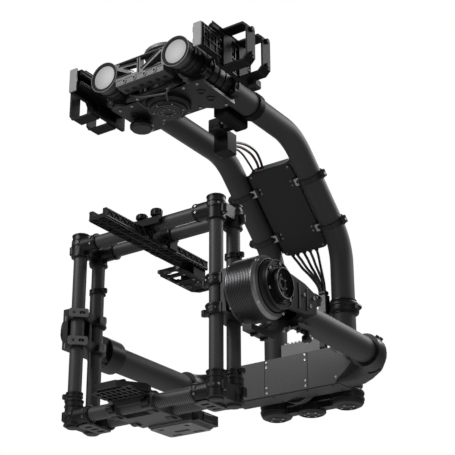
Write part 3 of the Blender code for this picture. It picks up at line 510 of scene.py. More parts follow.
def boom_tubes():
    """Bent tubes, each with a pale disc in its front end and a dark surround on the head."""
    for side, label in SIDES:
        x = side * BOOM_X
        shift = X_AXIS * x
        points = [(x, -50, BOOM_Z), (x, 100, BOOM_Z)]
        points += bend(CORNER_A + shift, Y_AXIS, SLOPE)
        points += bend(CORNER_B + shift, SLOPE, -Z_AXIS)
        points += [(x, BOOM_REAR_Y, 100), (x, BOOM_REAR_Y, -20)]
        piece("boom_tube_%s_fine" % label, pipe(points, 25, 64), "satin_tube", "boom", ["boom_tube_" + label])
        face = [(0, 59.6), (23.4, 59.6), (24.4, 59.2), (24.8, 58.2), (24.8, 52), (0, 52)]
        collar = [(25.5, 60.3), (25.5, 61.2), (30, 61.2), (30.8, 60.6), (30.8, 60.3)]
        centre = (x, 0, BOOM_Z)
        piece("boom_disc_" + label, lathe(face, centre, -Y_AXIS, 64), "silver_face", "boom")
        piece("boom_disc_surround_" + label, lathe(collar, centre, -Y_AXIS, 64), "deep_black", "head")
        outline = band(30.6, 31.4, 60.2, 61.4, centre, -Y_AXIS)
        piece("boom_disc_outline_" + label, outline, "light_machined", "head")


# ---------------------------------------------------------------- tilt motor
CENTRE = (0, 0, 0)
CAN_RADIUS = 56
TILT_FACE_X = 265.2      # just over the right face of the tilt bracket, where its screws stand


def around(x, radius, angles):
    """Points on a circle about the tilt axis, at the given angles in degrees."""
    return [(x, *polar(radius, angle)) for angle in angles]


def tilt_motor():
    """Ribbed can, stepped stator, and the rings, ribs and screws on the motor's face."""
    profile = [(0, 193), (46.5, 193), (46.5, 251.6), (47.0, 252), (48, 252), (51.4, 248.6), (55.4, 244.6),
               (CAN_RADIUS, 243)]
    for i in range(15):
        x = 240.5 - 3.1 * i
        groove = CAN_RADIUS - 1.4
        profile += [(CAN_RADIUS, x), (groove, x - 0.5), (groove, x - 1.3), (CAN_RADIUS, x - 1.8)]
    profile += [(CAN_RADIUS, 192.5), (55.2, 191), (52, 188), (0, 188)]
    can = piece("tilt_can_fine", lathe(profile, CENTRE, X_AXIS, 96), "ribbed_metal", "cradle", ["tilt_can"],
                crease=25)
    can.data.materials.append(MATERIALS["lip_metal"])
    for face in can.data.polygons:
        x = face.center.x / MM
        radius = math.hypot(face.center.y + PAN_Y * MM, face.center.z + MOUNT_Z * MM) / MM
        on_a_lip = x > 243.5 or x < 191.8
        if radius > 51 and on_a_lip:
            face.material_index = 2
    stator = [(0, 268), (7, 268), (7, 270.5), (11.5, 270.5), (12, 268.5), (19, 268.5), (19.6, 271),
              (24.6, 271), (25.2, 276.6), (25.6, 277), (26.6, 277), (27, 276.6), (27, 265.3), (27.4, 257.6),
              (41, 257.6), (45, 252.5), (45, 194), (0, 194)]
    mesh = lathe(stator, CENTRE, X_AXIS, 64)
    piece("tilt_stator_fine", mesh, "black_anodised", "roll_arm", ["tilt_stator"])
    rim = lathe([(25.4, 276.4), (25.6, 277.4), (26.7, 277.4), (27.1, 276.4)], CENTRE, X_AXIS, 64)
    piece("tilt_hub_rim", rim, "lip_metal", "roll_arm")
    rings = [band(r, r + width, 265.1, 266.6, CENTRE, X_AXIS)
             for r, width in ((28.2, 1.4), (31.5, 0.9), (41.4, 1.2))]
    piece("tilt_face_rings", rings, "dark_machined", "roll_arm", crease=25)
    screws("tilt_face_screws", around(TILT_FACE_X, 36.6, (148, -30, 205, 90)), X_AXIS, "roll_arm", 3.0, 2.4)
    hub_spots = around(268.6, 15.5, (100, 165, 215, 285, 345, 40))
    screws("tilt_hub_screws", hub_spots, X_AXIS, "roll_arm", 1.7, 1.4)
    screws("tilt_rim_screws", around(TILT_FACE_X, 33.5, range(10, 360, 24)), X_AXIS, "roll_arm", 1.3, 1.0,
           "dark_machined")
    screws("tilt_arm_screws", [(265, 78, 6), (265, 98, -9), (265, 110, 9)], X_AXIS, "roll_arm", 3.4, 2.4)
    outlines = ([(60, 24), (66, 22), (66, -22), (60, -24)], [(86, 20), (90, 19), (90, -19), (86, -20)])
    ribs = [flat([outline], 1.2, (265.8, 0, 0), Y_AXIS, Z_AXIS) for outline in outlines]
    piece("tilt_bracket_ribs", ribs, "dark_machined", "roll_arm", bevel=0.3)
    lip_screws = []
    for angle in (55, 140, 225, 318):
        c, s = polar(1, angle)
        for x, r, lean, out, head_radius, height in ((246.2, 53.4, 0.72, 0.69, 3.0, 2.4),
                                                     (192.0, 54.0, -0.4, 0.9, 2.6, 2.6)):
            axis = Vector((lean, c * out, s * out)).normalized()
            lip_screws.append(screw((x, r * c, r * s), axis, head_radius, height))
    piece("tilt_lip_screws", lip_screws, "silver", "cradle")


def arm_details():
    """Rings and bolts of the right arm clamp, and the round connector behind it."""
    arm = (ARM_X, 0, 0)
    rings = [lathe([(25.2, y), (33.6, y), (34.4, y + 0.8), (34.4, y + 3), (33.6, y + 3.8), (25.2, y + 3.8)],
                   arm, Y_AXIS, 64) for y in (104.2, 119.6)]
    piece("arm_clamp_ribs", rings, "dark_machined", "roll_arm", crease=25)
    collar = lathe([(25.2, 126), (27.6, 126), (27.6, 130.4), (25.2, 130.4)], arm, Y_AXIS, 64)
    piece("arm_tube_collar", collar, "grey_machined", "roll_arm", bevel=0.4)
    centre, axis = Vector((228, 176, 33)), Vector((0.75, -0.2, 0.62)).normalized()
    plug = [(0, 9), (4, 9), (4, 6), (8.5, 6), (8.5, 9.5), (9.6, 10), (11, 10), (11.6, 9.2), (11.6, -7),
            (0, -7)]
    piece("arm_connector", lathe(plug, centre, axis, 40), "dark_machined", "roll_arm")
    pins = [screw(centre + axis * 6 + Vector(offset), axis, 1.2, 1.5)
            for offset in ((0, 5.5, 0), (0, -5.5, 0), (-3, 2, 5), (3, -2, -5))]
    piece("arm_connector_pins", pins, "lip_metal", "roll_arm")
    base = block((214, 164, 24.6), (236, 188, 34))
    piece("arm_connector_base", base, "black_anodised", "roll_arm", bevel=1.5)
    bolts = [(213 + dx, y, -76) for dx in (-4, 4) for y in (0, 30)]
    bolts += [(213, 62, -66), (228, 118, -37), (228, 132, -37)]
    screws("arm_under_bolts", bolts, -Z_AXIS, "roll_arm", 3.6, 4.0, "dark_machined")
    screws("arm_under_pins", [(224, 122, -37), (222, 98, -37), (219, 84, -45)], -Z_AXIS, "roll_arm", 2.2, 6.0)
    piece("arm_knob_tip", disc(3.4, -56.4, -54, (228, 146, 0), Z_AXIS, 20), "silver", "arm_knob_body")


# ---------------------------------------------------------------- roll box
PLATE_Z = 37.6           # half the height of the roll box's front plates
PLATE_Y = 432
SEAMS = (-128, -43, 59, 128)
SEAM_GAP = 0.4


def bent_nose(side):
    """Pointed end of the twill plate, which follows the front of the smooth end piece."""
    columns = ((128.0, 22.0, -30.0, 430.0), (136, 16, -23.6, 429.8), (145, 9.5, -16.5, 429.6),
               (152, 4.2, -11, 428.4), (158, 0.0, -6.2, 426.9), (162, -2.9, -3.1, 425.4))
    bm = bmesh.new()
    uv = bm.loops.layers.uv.new("UVMap")
    grid = [[bm.verts.new(place(side * x, y - lift, z)) for lift in (0.5, -2.0) for z in (top, low)]
            for x, top, low, y in columns]
    for (a, b, c, d), (e, f, g, h) in zip(grid, grid[1:]):
        for corners in ((a, b, f, e), (c, g, h, d), (a, e, g, c), (b, d, h, f)):
            bm.faces.new(corners)
    bm.faces.new((grid[0][0], grid[0][2], grid[0][3], grid[0][1]))
    bm.faces.new((grid[-1][0], grid[-1][1], grid[-1][3], grid[-1][2]))
    for face in bm.faces:
        for loop in face.loops:
            loop[uv].uv = (loop.vert.co.x, loop.vert.co.z)
    return from_bmesh(bm)


def roll_box():
    """Twill front plates with their pointed ends, and the plate and screws below and behind."""
    corner = 107.0
    for label, a, b in zip(("left", "middle", "right"), SEAMS, SEAMS[1:]):
        near, far = a + SEAM_GAP, b - SEAM_GAP
        outline = [(near, -PLATE_Z), (far, -PLATE_Z), (far, PLATE_Z), (near, PLATE_Z)]
        if label != "middle":
            side = 1 if label == "right" else -1
            near, far = (a + SEAM_GAP, b - 0.1) if side > 0 else (b - SEAM_GAP, a + 0.1)
            outline = [(near, -PLATE_Z), (side * 120, -PLATE_Z), (far, -30.2), (far, 22.2),
                       (side * corner, PLATE_Z), (near, PLATE_Z)]
            piece("roll_plate_nose_" + label, bent_nose(side), "carbon_plate", "roll_arm")
            triangle = mirrored(side, [(corner + 0.9, PLATE_Z), (128, 22.9), (128, PLATE_Z)])
            infill = flat([triangle], 3.2, (0, PLATE_Y + 0.2, 0), X_AXIS, Z_AXIS)
            piece("roll_corner_" + label, infill, "dark_machined", "roll_arm", bevel=0.3)
        mesh = flat([outline], 3.6, (0, PLATE_Y, 0), X_AXIS, Z_AXIS)
        piece("roll_front_plate_" + label, mesh, "carbon_plate", "roll_arm",
              ["roll_front_plate"] if label == "middle" else (), bevel=0.3)
    spots = [(x + dx, 430, z) for x, dx in ((-43, 5), (59, -5)) for z in (32.5, 21.5, -21.5, -32.5)]
    spots += [(side * 124, 430, -26) for side in (-1, 1)] + [(-96, 430, 30), (-96, 430, -32)]
    screws("roll_plate_screws", spots, -Y_AXIS, "roll_arm", 2.6, 1.4)
    strip = flat([[(-127, 436), (127, 436), (127, 485), (-127, 485)]], 1.2, (0, 0, -38.7), X_AXIS, Y_AXIS)
    piece("roll_bottom_plate", strip, "dark_machined", "roll_arm", bevel=0.4)
    lower = [(x, y, -39.3) for x in (-110, -30, 50, 110) for y in (442, 478)]
    screws("roll_bottom_screws", lower, -Z_AXIS, "roll_arm", 2.4, 1.0, "dark_machined")
    bolts = [screw((side * 236, y, 23.5), Vector((side * 0.7, 0, 0.71)).normalized(), 4.0, 4.5)
             for side in (-1, 1) for y in (396, 411)]
    piece("arm_rear_bolts", bolts, "dark_machined", "roll_arm")


# ---------------------------------------------------------------- electronics case and cables
CASE_S = (-85.0, 122.0)  # ends of the case along the slope
CLAMP_S = (-40.0, 72.0)
# Each upper cable: its route from the power block, where it enters the case, its radius and material.
UPPER_ROUTES = (
    ([(3, 255.3, 451), (1, 275, 462), (-4, 317, 475), (-10, 358, 479), (-16, 385, 470)], (-20, 14), 2.8,
     "cable_black"),
    ([(-4, 255.3, 446), (-6, 275, 456), (-9, 303, 465), (-15, 345, 471), (-21, 376, 466)], (-26.5, 9), 2.8,
     "cable_red"),
    ([(-11, 255.3, 441), (-11, 283, 454), (-19, 320, 460), (-29, 358, 458), (-35, 378, 457)], (-38, 4), 2.2,
     "cable_black"),
)
# The lower cables fan in from the case to the clip; the shares say how far across, with z and y.
LOWER_RADIUS = 3
LOWER_STARTS = (-38, -26, -9, 6, 22)
LOWER_ENDS = ((45, 517), (48, 523), (51, 515.5), (54, 521), (57.3, 515))
LOWER_SHARES = ((0.14, 292, 547), (0.34, 270, 541), (0.62, 245, 531), (0.90, 215, 522))


def smooth(points, step):
    """Points about a step apart on the smooth curve through the given ones."""
    knots = [Vector(p) for p in points]
    knots = [knots[0] * 2 - knots[1]] + knots + [knots[-1] * 2 - knots[-2]]
    result = []
    for a, b, c, d in zip(knots, knots[1:], knots[2:], knots[3:]):
        count = max(1, round((c - b).length / step))
        for t in (i / count for i in range(count)):
            result.append(0.5 * (b * 2 + (c - a) * t + (a * 2 - b * 5 + c * 4 - d) * t * t
                                 + (b * 3 - a - c * 3 + d) * t ** 3))
    return [tuple(p) for p in result] + [tuple(points[-1])]


def lower_route(start, end_x, end_y):
    """Route of one lower cable, from the lower end of the case to the clip."""
    middle = [(start + (end_x - start) * share, y + (end_y - 519) * share, z) for share, z, y in LOWER_SHARES]
    ends = [on_slope(start, CASE_S[1] + 0.9, 4), on_slope(start, CASE_S[1] + 7, 3)]
    return ends + middle + [(end_x, end_y, 192)]


def gland(centre, axis, radius, length=5.0):
    """Round boot that a cable leaves the case through."""
    wide = radius + 1.6
    return lathe([(0, length), (radius + 1.0, length), (wide, length * 0.7), (wide, 0), (0, 0)],
                 centre, axis, 20)


def cables():
    """Upper and lower cables with their glands, plug and boot."""
    for i, (route, end, radius, material) in enumerate(UPPER_ROUTES):
        finish = on_slope(end[0], CASE_S[0] - 1, end[1])
        piece("upper_cable_%d" % (i + 1), pipe(smooth(route + [finish], 4), radius, 16), material, "boom",
              ["upper_cables"] if i == 0 else ())
    boots = [gland(on_slope(end[0], CASE_S[0] + 0.5, end[1]), -SLOPE, radius)
             for _, end, radius, _ in UPPER_ROUTES]
    boots += [gland(on_slope(start, CASE_S[1] - 0.5, 4), SLOPE, LOWER_RADIUS) for start in LOWER_STARTS]
    piece("cable_glands", boots, "black_anodised", "boom")
    piece("power_plug", block((-16, 250.4, 434), (9, 256, 458)), "black_anodised", "boom", bevel=1.2)
    for i, (start, end) in enumerate(zip(LOWER_STARTS, LOWER_ENDS)):
        cable = pipe(smooth(lower_route(start, *end), 5), LOWER_RADIUS, 16)
        piece("lower_cable_%d" % (i + 1), cable, "cable_black", "boom", ["lower_cables"] if i == 0 else ())
    piece("cable_boot", block((42, 511.5, 189.4), (60.5, 526.5, 197)), "cable_black", "boom", bevel=2)


def case():
    """Cover, screws and end plate of the case, black strips of painted shade in the gaps beside it, and the
    tabs and ears of its tube clamps.
    """
    outline = rounded(-53.5, CASE_S[0] + 1.5, 53.5, CASE_S[1] - 1.5, 11, 8)
    cover = flat([outline], 2.2, on_slope(0, 0, -2.4), X_AXIS, SLOPE)
    piece("case_cover_fine", cover, "case_black", "boom", ["case_cover"], bevel=0.6)
    spots = [on_slope(u, s, -3.5) for u in (-46, 46) for s in (CASE_S[0] + 8, CASE_S[1] - 8)]
    spots += [on_slope(side * 39, s + d, -3.5) for side in (-1, 1) for s in CLAMP_S for d in (-5, 5)]
    screws("case_screws", spots, -NORMAL, "boom", 2.4, 1.4, "lip_metal")
    top = flat([rounded(-44, 1, 44, 26, 4)], 1.4, on_slope(0, CASE_S[0] - 0.6, 0), X_AXIS, NORMAL)
    piece("case_top_plate", top, "light_machined", "boom", bevel=0.4)
    first, last = CASE_S[0] + 6, CASE_S[1] - 6
    # Black strips beside the case: painted shade in the gaps between the case and the boom tubes.
    strip = [(56.6, first), (63.5, first), (63.5, last), (56.6, last)]
    shade_strips = [flat([mirrored(side, strip)], 3, on_slope(0, 0, 9), X_AXIS, SLOPE) for side in (-1, 1)]
    piece("case_gap_shade", shade_strips, "pad_and_shade_black", "boom")
    for s, label in zip(CLAMP_S, ("upper", "lower")):
        tabs = []
        ears = []
        for side in (-1, 1):
            loops = [mirrored(side, rounded(49, -8, 68, 8, 2)), circle(side * 57, 0, 4, 20)]
            tabs.append(flat(loops, 1.5, on_slope(0, s, -8), X_AXIS, SLOPE))
            centre = on_slope(side * 114, s, -4)
            ears.append(lathe([(3, 4.6), (7, 4.6), (8.6, 3.4), (8.6, -4), (3, -4)], centre, -NORMAL, 24))
            ears.append(screw(centre, -NORMAL, 3.4, 3.6))
        piece("case_tabs_" + label, tabs, "silver_face", "boom", bevel=0.3)
        piece("case_ears_" + label, ears, "dark_machined", "boom")


# ---------------------------------------------------------------- head details
RAIL_X = (133.0, 157.0)  # inner and outer faces of a battery rail
HOLE_ROW_Z = 462.5       # row of holes along the lower edge of the truss's front


def battery_details(side, label):
    """End plate, grooves, ribs and screws of one battery rail and its two loops."""
    face = flat([mirrored(side, rounded(139, 467, 157, 517, 2))], 3.4, (0, -77.8, 0), X_AXIS, Z_AXIS)
    piece("battery_end_plate_" + label, face, "light_machined", "head", bevel=0.8)
    lo, hi = RAIL_X[1] + 0.1, RAIL_X[1] + 2.0
    ribs = [block((side * lo, -74, z), (side * hi, -14, z + 1.6)) for z in (468.5, 486, 505, 513)]
    ribs += [block((side * lo, -10, z), (side * hi, 84, z + 1.8)) for z in (454.5, 486, 512)]
    ribs += [block((side * lo, y, 470), (side * hi, y + 1.8, 512)) for y in (-72, -54, -32)]
    ribs += [block((side * lo, y, 455), (side * hi, y + 1.8, 512)) for y in (6, 30, 62, 82)]
    piece("battery_rail_ribs_" + label, ribs, "black_anodised", "head", bevel=0.3)
    inner = [block((side * (RAIL_X[0] - 1.6), -70, z), (side * RAIL_X[0], 80, z + 1.8))
             for z in (482.4, 486, 505, 512)]
    piece("battery_rail_grooves_" + label, inner, "dark_machined", "head", bevel=0.3)
    spots = [(side * hi, y, z) for y in (-63, -24, 12, 46, 74) for z in (490, 508)]
    screws("battery_rail_screws_" + label, spots, X_AXIS * side, "head", 2.2, 1.2, "dark_machined")
    caps = [lathe([(0, 5), (4.6, 5), (5.4, 4), (5.4, 0), (0, 0)], (side * 213.4, y, z), X_AXIS * side, 20)
            for y in (1.5, 53.5) for z in (466, 519)]
    piece("battery_loop_pads_" + label, caps, "pad_and_shade_black", "head")
    if side > 0:
        tab = block((164, 56, 436), (186, 80, 455))
        piece("battery_loop_foot", tab, "deep_black", "head", bevel=5, segments=4)


def pan_hub():
    """Stepped hub under the pan motor, with its rims, rings and screws."""
    centre = (0, PAN_Y, 0)
    hub = [(0, 425.4), (8, 425.4), (8, 424.2), (19, 424.2), (20.6, 425.8), (20.6, 427.4), (22.4, 427.4),
           (22.4, 425), (24, 425), (25, 427.6), (33, 428.4), (33, 427.4), (36.4, 427.4), (37, 430), (37, 432),
           (0, 432)]
    piece("pan_hub", lathe([(r, -z) for r, z in hub], centre, -Z_AXIS, 64), "dark_machined", "head")
    rims = [band(r, r + 0.9, -426.4, -424.6, centre, -Z_AXIS) for r in (20.8, 26.6)]
    piece("pan_hub_rims", rims, "light_machined", "head", crease=25)
    rings = [band(r, r + 1.6, -449.2, -446.8, centre, -Z_AXIS) for r in (45.2, 48.2)]
    piece("pan_flange_rings", rings, "dark_machined", "head", crease=25)
    screws("pan_hub_screws", level_ring(30, range(20, 380, 60), 0, PAN_Y, 427.6), -Z_AXIS, "head", 1.9, 1.4)
    screws("pan_hub_dots", level_ring(13, range(0, 360, 45), 0, PAN_Y, 424.4), -Z_AXIS, "head", 1.2, 0.8)


def head_clamp_details(side, label):
    """Bolted ears, ribs and feet of the two clamps round one boom tube."""
    x = side * BOOM_X
    centre = (x, 0, BOOM_Z)
    ribs = [rib(29.3, 35.2, y, y + 2.8, 0.4, centre, Y_AXIS, 56) for y in (-7.2, 4.6, 89.8, 101.6)]
    ribs += [rib(29.3, 30.8, y, y + 2.4, 0.4, centre, Y_AXIS, 56) for y in (-40, -28, 24, 44, 64)]
    piece("head_clamp_ribs_" + label, ribs, "black_anodised", "head", crease=25)
    ears = []
    bolts = []
    for y in (0, 97):
        eye = (x + side * 26, y - 8, BOOM_Z - 24)
        ears.append(lathe([(4, 2.4), (8.4, 2.4), (9.4, 1.4), (9.4, -1), (4, -1)], eye, -Y_AXIS, 28))
        bolts.append(screw(eye, -Y_AXIS, 4.2, 1.6, 0.6))
        bolts += [screw((x + dx, y, 449.2), -Z_AXIS, 3.0, 2.0) for dx in (-15, 15)]
        ears.append(block((x - 23, y - 5, 452), (x - 19, y + 5, 470)))
        ears.append(block((x + 19, y - 5, 452), (x + 23, y + 5, 462)))
    piece("head_clamp_ears_" + label, ears, "dark_machined", "head", bevel=0.3)
    piece("head_clamp_bolts_" + label, bolts, "lip_metal", "head")


def truss_details():
    """Ribs round the truss windows, black discs of painted shade in the holes along its lower edge and shelf,
    and the stays below it.
    """
    lines = (((-54, 474), (-20, 474)), ((-50, 497), (-6, 493)), ((-38, 490), (-12, 475)),
             ((4, 476), (46, 502)), ((10, 470.6), (52, 470.6)), ((-2, 470), (-2, 503)),
             ((-54, 503.4), (54, 503.4)))
    bars = [pipe([(xa, -60.6, za), (xb, -60.6, zb)], 1.1, 8) for (xa, za), (xb, zb) in lines]
    piece("truss_ribs", bars, "grey_machined", "head")
    row = [(x, 0, HOLE_ROW_Z) for x in (-36, -12, 12, 36)]
    rings = [band(3, 4.6, 59.2, 60.4, spot, -Y_AXIS, 28) for spot in row]
    piece("truss_flange_rings", rings, "light_machined", "head", crease=25)
    # Black discs in the flange holes: painted shade where the holes run deep.
    holes = [disc(3, 59.4, 58, spot, -Y_AXIS) for spot in row]
    piece("truss_flange_hole_shade", holes, "pad_and_shade_black", "head")
    # Black discs on the shelf: painted shade in its holes.
    holes = [disc(5, -454.7, -456, (x, -38, 0), -Z_AXIS) for x in (-46, -28, -10, 10, 28, 46)]
    piece("truss_shelf_hole_shade", holes, "pad_and_shade_black", "head")
    stays = [pipe(points, 2.2, 12) for points in ([(-50, -24, 452), (-20, -24, 438), (38, -24, 428)],
                                                  [(50, -20, 452), (38, -24, 428), (22, 2, 430)],
                                                  [(-50, -18, 452), (-34, 6, 434), (-20, 12, 430)])]
    piece("pan_stays", stays, "grey_machined", "head")


def head():
    """Everything on the head, and the screws and dished rings under its base plate."""
    for side, label in SIDES:
        battery_details(side, label)
        head_clamp_details(side, label)
    pan_hub()
    truss_details()
    plate = [(-62, -2), (62, -2), (-44, 78), (44, 78), (-92, 0), (92, 0), (-92, 97), (92, 97), (-36, -18),
             (36, -18)]
    screws("head_plate_screws", [(x, y, 443) for x, y in plate], -Z_AXIS, "head", 3.0, 2.2)
    dishes = [flat([circle(x, y, 9, 28), circle(x, y, 6.4, 28)], 1.6, (0, 0, 442.4), X_AXIS, Y_AXIS)
              for x in (-80, 80) for y in (30, 62)]
    piece("head_plate_dishes", dishes, "dark_machined", "head", bevel=0.3)


# ---------------------------------------------------------------- boom and stage details
def boom_details():
    """Rings, rims and bolts of the boom's lower end, its cable clip, and the stage's end block."""
    for side, label in SIDES:
        tube = (side * BOOM_X, BOOM_REAR_Y, 0)
        rings = [rib(25.4, r, z, z + 4, 0.6, tube, Z_AXIS, 56)
                 for z, r in ((143, 28.4), (149, 30.6), (156, 30.6), (164, 30.6), (171, 28.4))]
        piece("collar_rings_" + label, rings, "dark_machined", "boom", crease=25)
    bolts = [(side * BOOM_X + dx, BOOM_REAR_Y + dy, -55) for side in (-1, 1)
             for dx, dy in ((-14, 0), (14, 0), (0, -14), (0, 14))]
    bolts += level_ring(15, range(30, 390, 60), 0, BOOM_REAR_Y, -57)
    screws("foot_bolts", bolts, -Z_AXIS, "boom", 2.6, 1.6)
    dishes = []
    for x, r, z in ((-BOOM_X, 18, 54.6), (0, 20, 56.6), (BOOM_X, 18, 54.6)):
        centre = (x, BOOM_REAR_Y, 0)
        dishes.append(lathe([(r, z), (r, z + 1.8), (r + 3, z + 1.8), (r + 3.6, z + 0.6), (r + 3.6, z)],
                            centre, -Z_AXIS, 56))
        dishes.append(band(r - 8, r - 5, z, z + 1, centre, -Z_AXIS, 48))
    dishes += [rib(34.4, 35.6, z, z + 4, 0.6, (side * BOOM_X, BOOM_REAR_Y, 0), -Z_AXIS, 64)
               for side in (-1, 1) for z in (26, 38)]
    piece("foot_rims", dishes, "dark_machined", "boom", crease=25)
    bridge = block((-54, 527, -37.4), (54, 559, -22))
    piece("foot_bridge_cover", bridge, "black_anodised", "boom", bevel=3)
    end_block = block((36, 519.6, 75), (50, 531.6, 100))
    piece("stage_end_block", end_block, "black_anodised", "roll_stage", bevel=1)
    clip = block((42.5, 510.4, 148), (59.5, 512, 186))
    piece("cable_clip_plate", clip, "light_machined", "boom", bevel=0.5)


# ---------------------------------------------------------------- cage details
UPRIGHTS = [(side * CAGE_X, y) for side in (-1, 1) for y in (-CAGE_Y, CAGE_Y)]
DIAGONAL = Vector((1, -1, 0)).normalized()
ACROSS = Vector((1, 1, 0)).normalized()
CLAMP_Z = ((-40, -21), (13, 32))      # heights of the side frames' clamps on the uprights
# Top or not, label, height of the cross tubes, ends of the block, and middle of its clamp.
CORNER_Z = ((False, "bottom", CAGE_BOTTOM, -185, -137, -164), (True, "top", CAGE_TOP, 136, 182, 163))
STOP_HALF = 4.5          # half the height of a stop ring


def cage_caps():
    """Caps in both ends of the uprights."""
    upper = [(0, 184.2), (9.5, 184.2), (12.0, 183.4), (13, 182), (13, 178.1), (0, 178.1)]
    lower = [(0, 188.4), (10.5, 188.4), (12.6, 187.2), (13.4, 185), (13.4, 182), (0, 182)]
    caps = [lathe(profile, (x, y, 0), axis, 32)
            for x, y in UPRIGHTS for profile, axis in ((upper, Z_AXIS), (lower, -Z_AXIS))]
    piece("cage_tube_caps", caps, "black_anodised", "cage")


def tube_ring(x, y, z0, z1, outer=15.6):
    """Clamp ring with a waist, round an upright."""
    h = (z1 - z0) / 3
    waist = outer - 1.2
    return lathe([(12.7, z0), (outer, z0), (outer, z0 + h), (waist, z0 + h + 0.6), (waist, z1 - h - 0.6),
                  (outer, z1 - h), (outer, z1), (12.7, z1)], (x, y, 0), Z_AXIS, 40)


def fan_screws(x, y, z, radius, angles, head_radius=1.9):
    """Screw heads round a ring, at angles in degrees from +X."""
    made = []
    for angle in angles:
        direction = Vector((*polar(1, angle), 0))
        made.append(screw(Vector((x, y, z)) + direction * radius, direction, head_radius, 1.6))
    return made


def stop_rings():
    """Rings on the uprights that stop them in the side frames, each with a bolted ear."""
    rings = []
    bolts = []
    for x, y, z, ear_side in ((-CAGE_X, CAGE_Y, 84, 1), (CAGE_X, CAGE_Y, 84, 1), (CAGE_X, CAGE_Y, -128, 1),
                              (-CAGE_X, -CAGE_Y, -128, -1)):
        ear_x, ear_y = x + ear_side * 18.5, y - 3
        rings.append(tube_ring(x, y, z - STOP_HALF, z + STOP_HALF))
        rings.append(boss(6, 4, (0.6, 0.8), (ear_x, ear_y, z), sides=20))
        bolts.append(screw((ear_x, ear_y, z - 4), -Z_AXIS, 2.6, 2.0))
    piece("cage_stop_rings", rings, "dark_machined", "cage", crease=25)
    piece("cage_stop_bolts", bolts, "lip_metal", "cage")


def clamp_faces():
    """Ears, ribs and screws of the side frames' clamps, and slotted faces across the left ones."""
    slots = [rounded(1, -3, 12.5, 3, 2.9, 6), rounded(-12.5, -2.6, -5.5, 2.6, 2.5, 6)]
    for side, label in SIDES:
        x = side * CAGE_X
        plates = []
        screws_here = []
        ribs = []
        for z0, z1 in CLAMP_Z:
            z = (z0 + z1) / 2
            for y in (-CAGE_Y, CAGE_Y):
                ribs += [rib(18, 19.2, zc - 1.6, zc + 1.6, 0.6, (x, y, 0), Z_AXIS, 48)
                         for zc in (z0 + 3, z1 - 3)]
                screws_here += fan_screws(x, y, z, 17.8, (-95, -60, -25))
            if side < 0:
                centre = Vector((x, -CAGE_Y, z)) + DIAGONAL * 20.6
                plates.append(flat([rounded(-18, -8, 18, 8, 4, 6)] + slots, 3, centre, ACROSS, Z_AXIS))
            plates.append(boss(6.6, 6.5, (0.8, 0.9), (side * (CAGE_X - 21), CAGE_Y - 6, z)))
            plates.append(boss(6, 5.5, (0.8, 0.9), (x - 21, -CAGE_Y - 4, z - 3)))
        material = "light_machined" if side < 0 else "black_anodised"
        piece("clamp_faces_" + label, plates, material, "cradle", bevel=0.4)
        piece("clamp_ribs_" + label, ribs, "dark_machined", "cradle", crease=25)
        piece("clamp_screws_" + label, screws_here, "lip_metal", "cradle")


def corner_details():
    """Bolt clusters, ribs and side tabs on the four corner blocks, and the slotted foot plates."""
    for top, label, level, z0, z1, middle in CORNER_Z:
        ribs = []
        bolts = []
        tabs = []
        for x, y in UPRIGHTS:
            side = -1 if x < 0 else 1
            front = -1 if y < 0 else 1
            upright = (x, y, 0)
            ribs += [rib(16.4, 17.5, z - 1.5, z + 1.5, 0.5, upright, Z_AXIS)
                     for z in (z0 + 2.2, z1 - 12, z1 - 2.2)]
            ribs.append(rib(15.6, 16.9, 112, 116, 0.6, (0, y, level), X_AXIS * side))
            ribs.append(rib(16.2, 18, middle - 5, middle + 5, 0.6, upright, Z_AXIS))
            bolts += fan_screws(x, y, middle, 17.6, [front * angle for angle in (100, 70, 40)], 2.1)
            bolts += [screw((side * 120, y + front * 15.6, level + dz), Y_AXIS * front, 2.4, 1.6)
                      for dz in (-6, 6)]
            tab = Vector((side * (CAGE_X + 18), y + front * 2, level - 6 if top else level + 4))
            tabs.append(boss(6.2, 8, (0.8, 1), tab))
            bolts.append(screw(tab + Vector((0, 0, -8)), -Z_AXIS, 3.2, 2.4))
        piece("corner_ribs_" + label, ribs, "dark_machined", "cage", crease=25)
        piece("corner_bolts_" + label, bolts, "lip_metal", "cage")
        piece("corner_ears_" + label, tabs, "black_anodised", "cage")
    outlines = [rounded(111, -30, 141, 30, 5)] + [rounded(117, y0, 134, y0 + 9, 4) for y0 in (-22, -5, 12)]
    feet = [flat([mirrored(side, outline) for outline in outlines], 3, (0, 0, -186.6), X_AXIS, Y_AXIS)
            for side in (-1, 1)]
    piece("cage_foot_plates", feet, "grey_machined", "cage", bevel=0.5)


RAIL_Y = (-162, 139)     # ends of the top rail
LATTICE = 18             # length of one diamond of the lattice under it
KNOB_Y = -45             # of the two thumb knobs


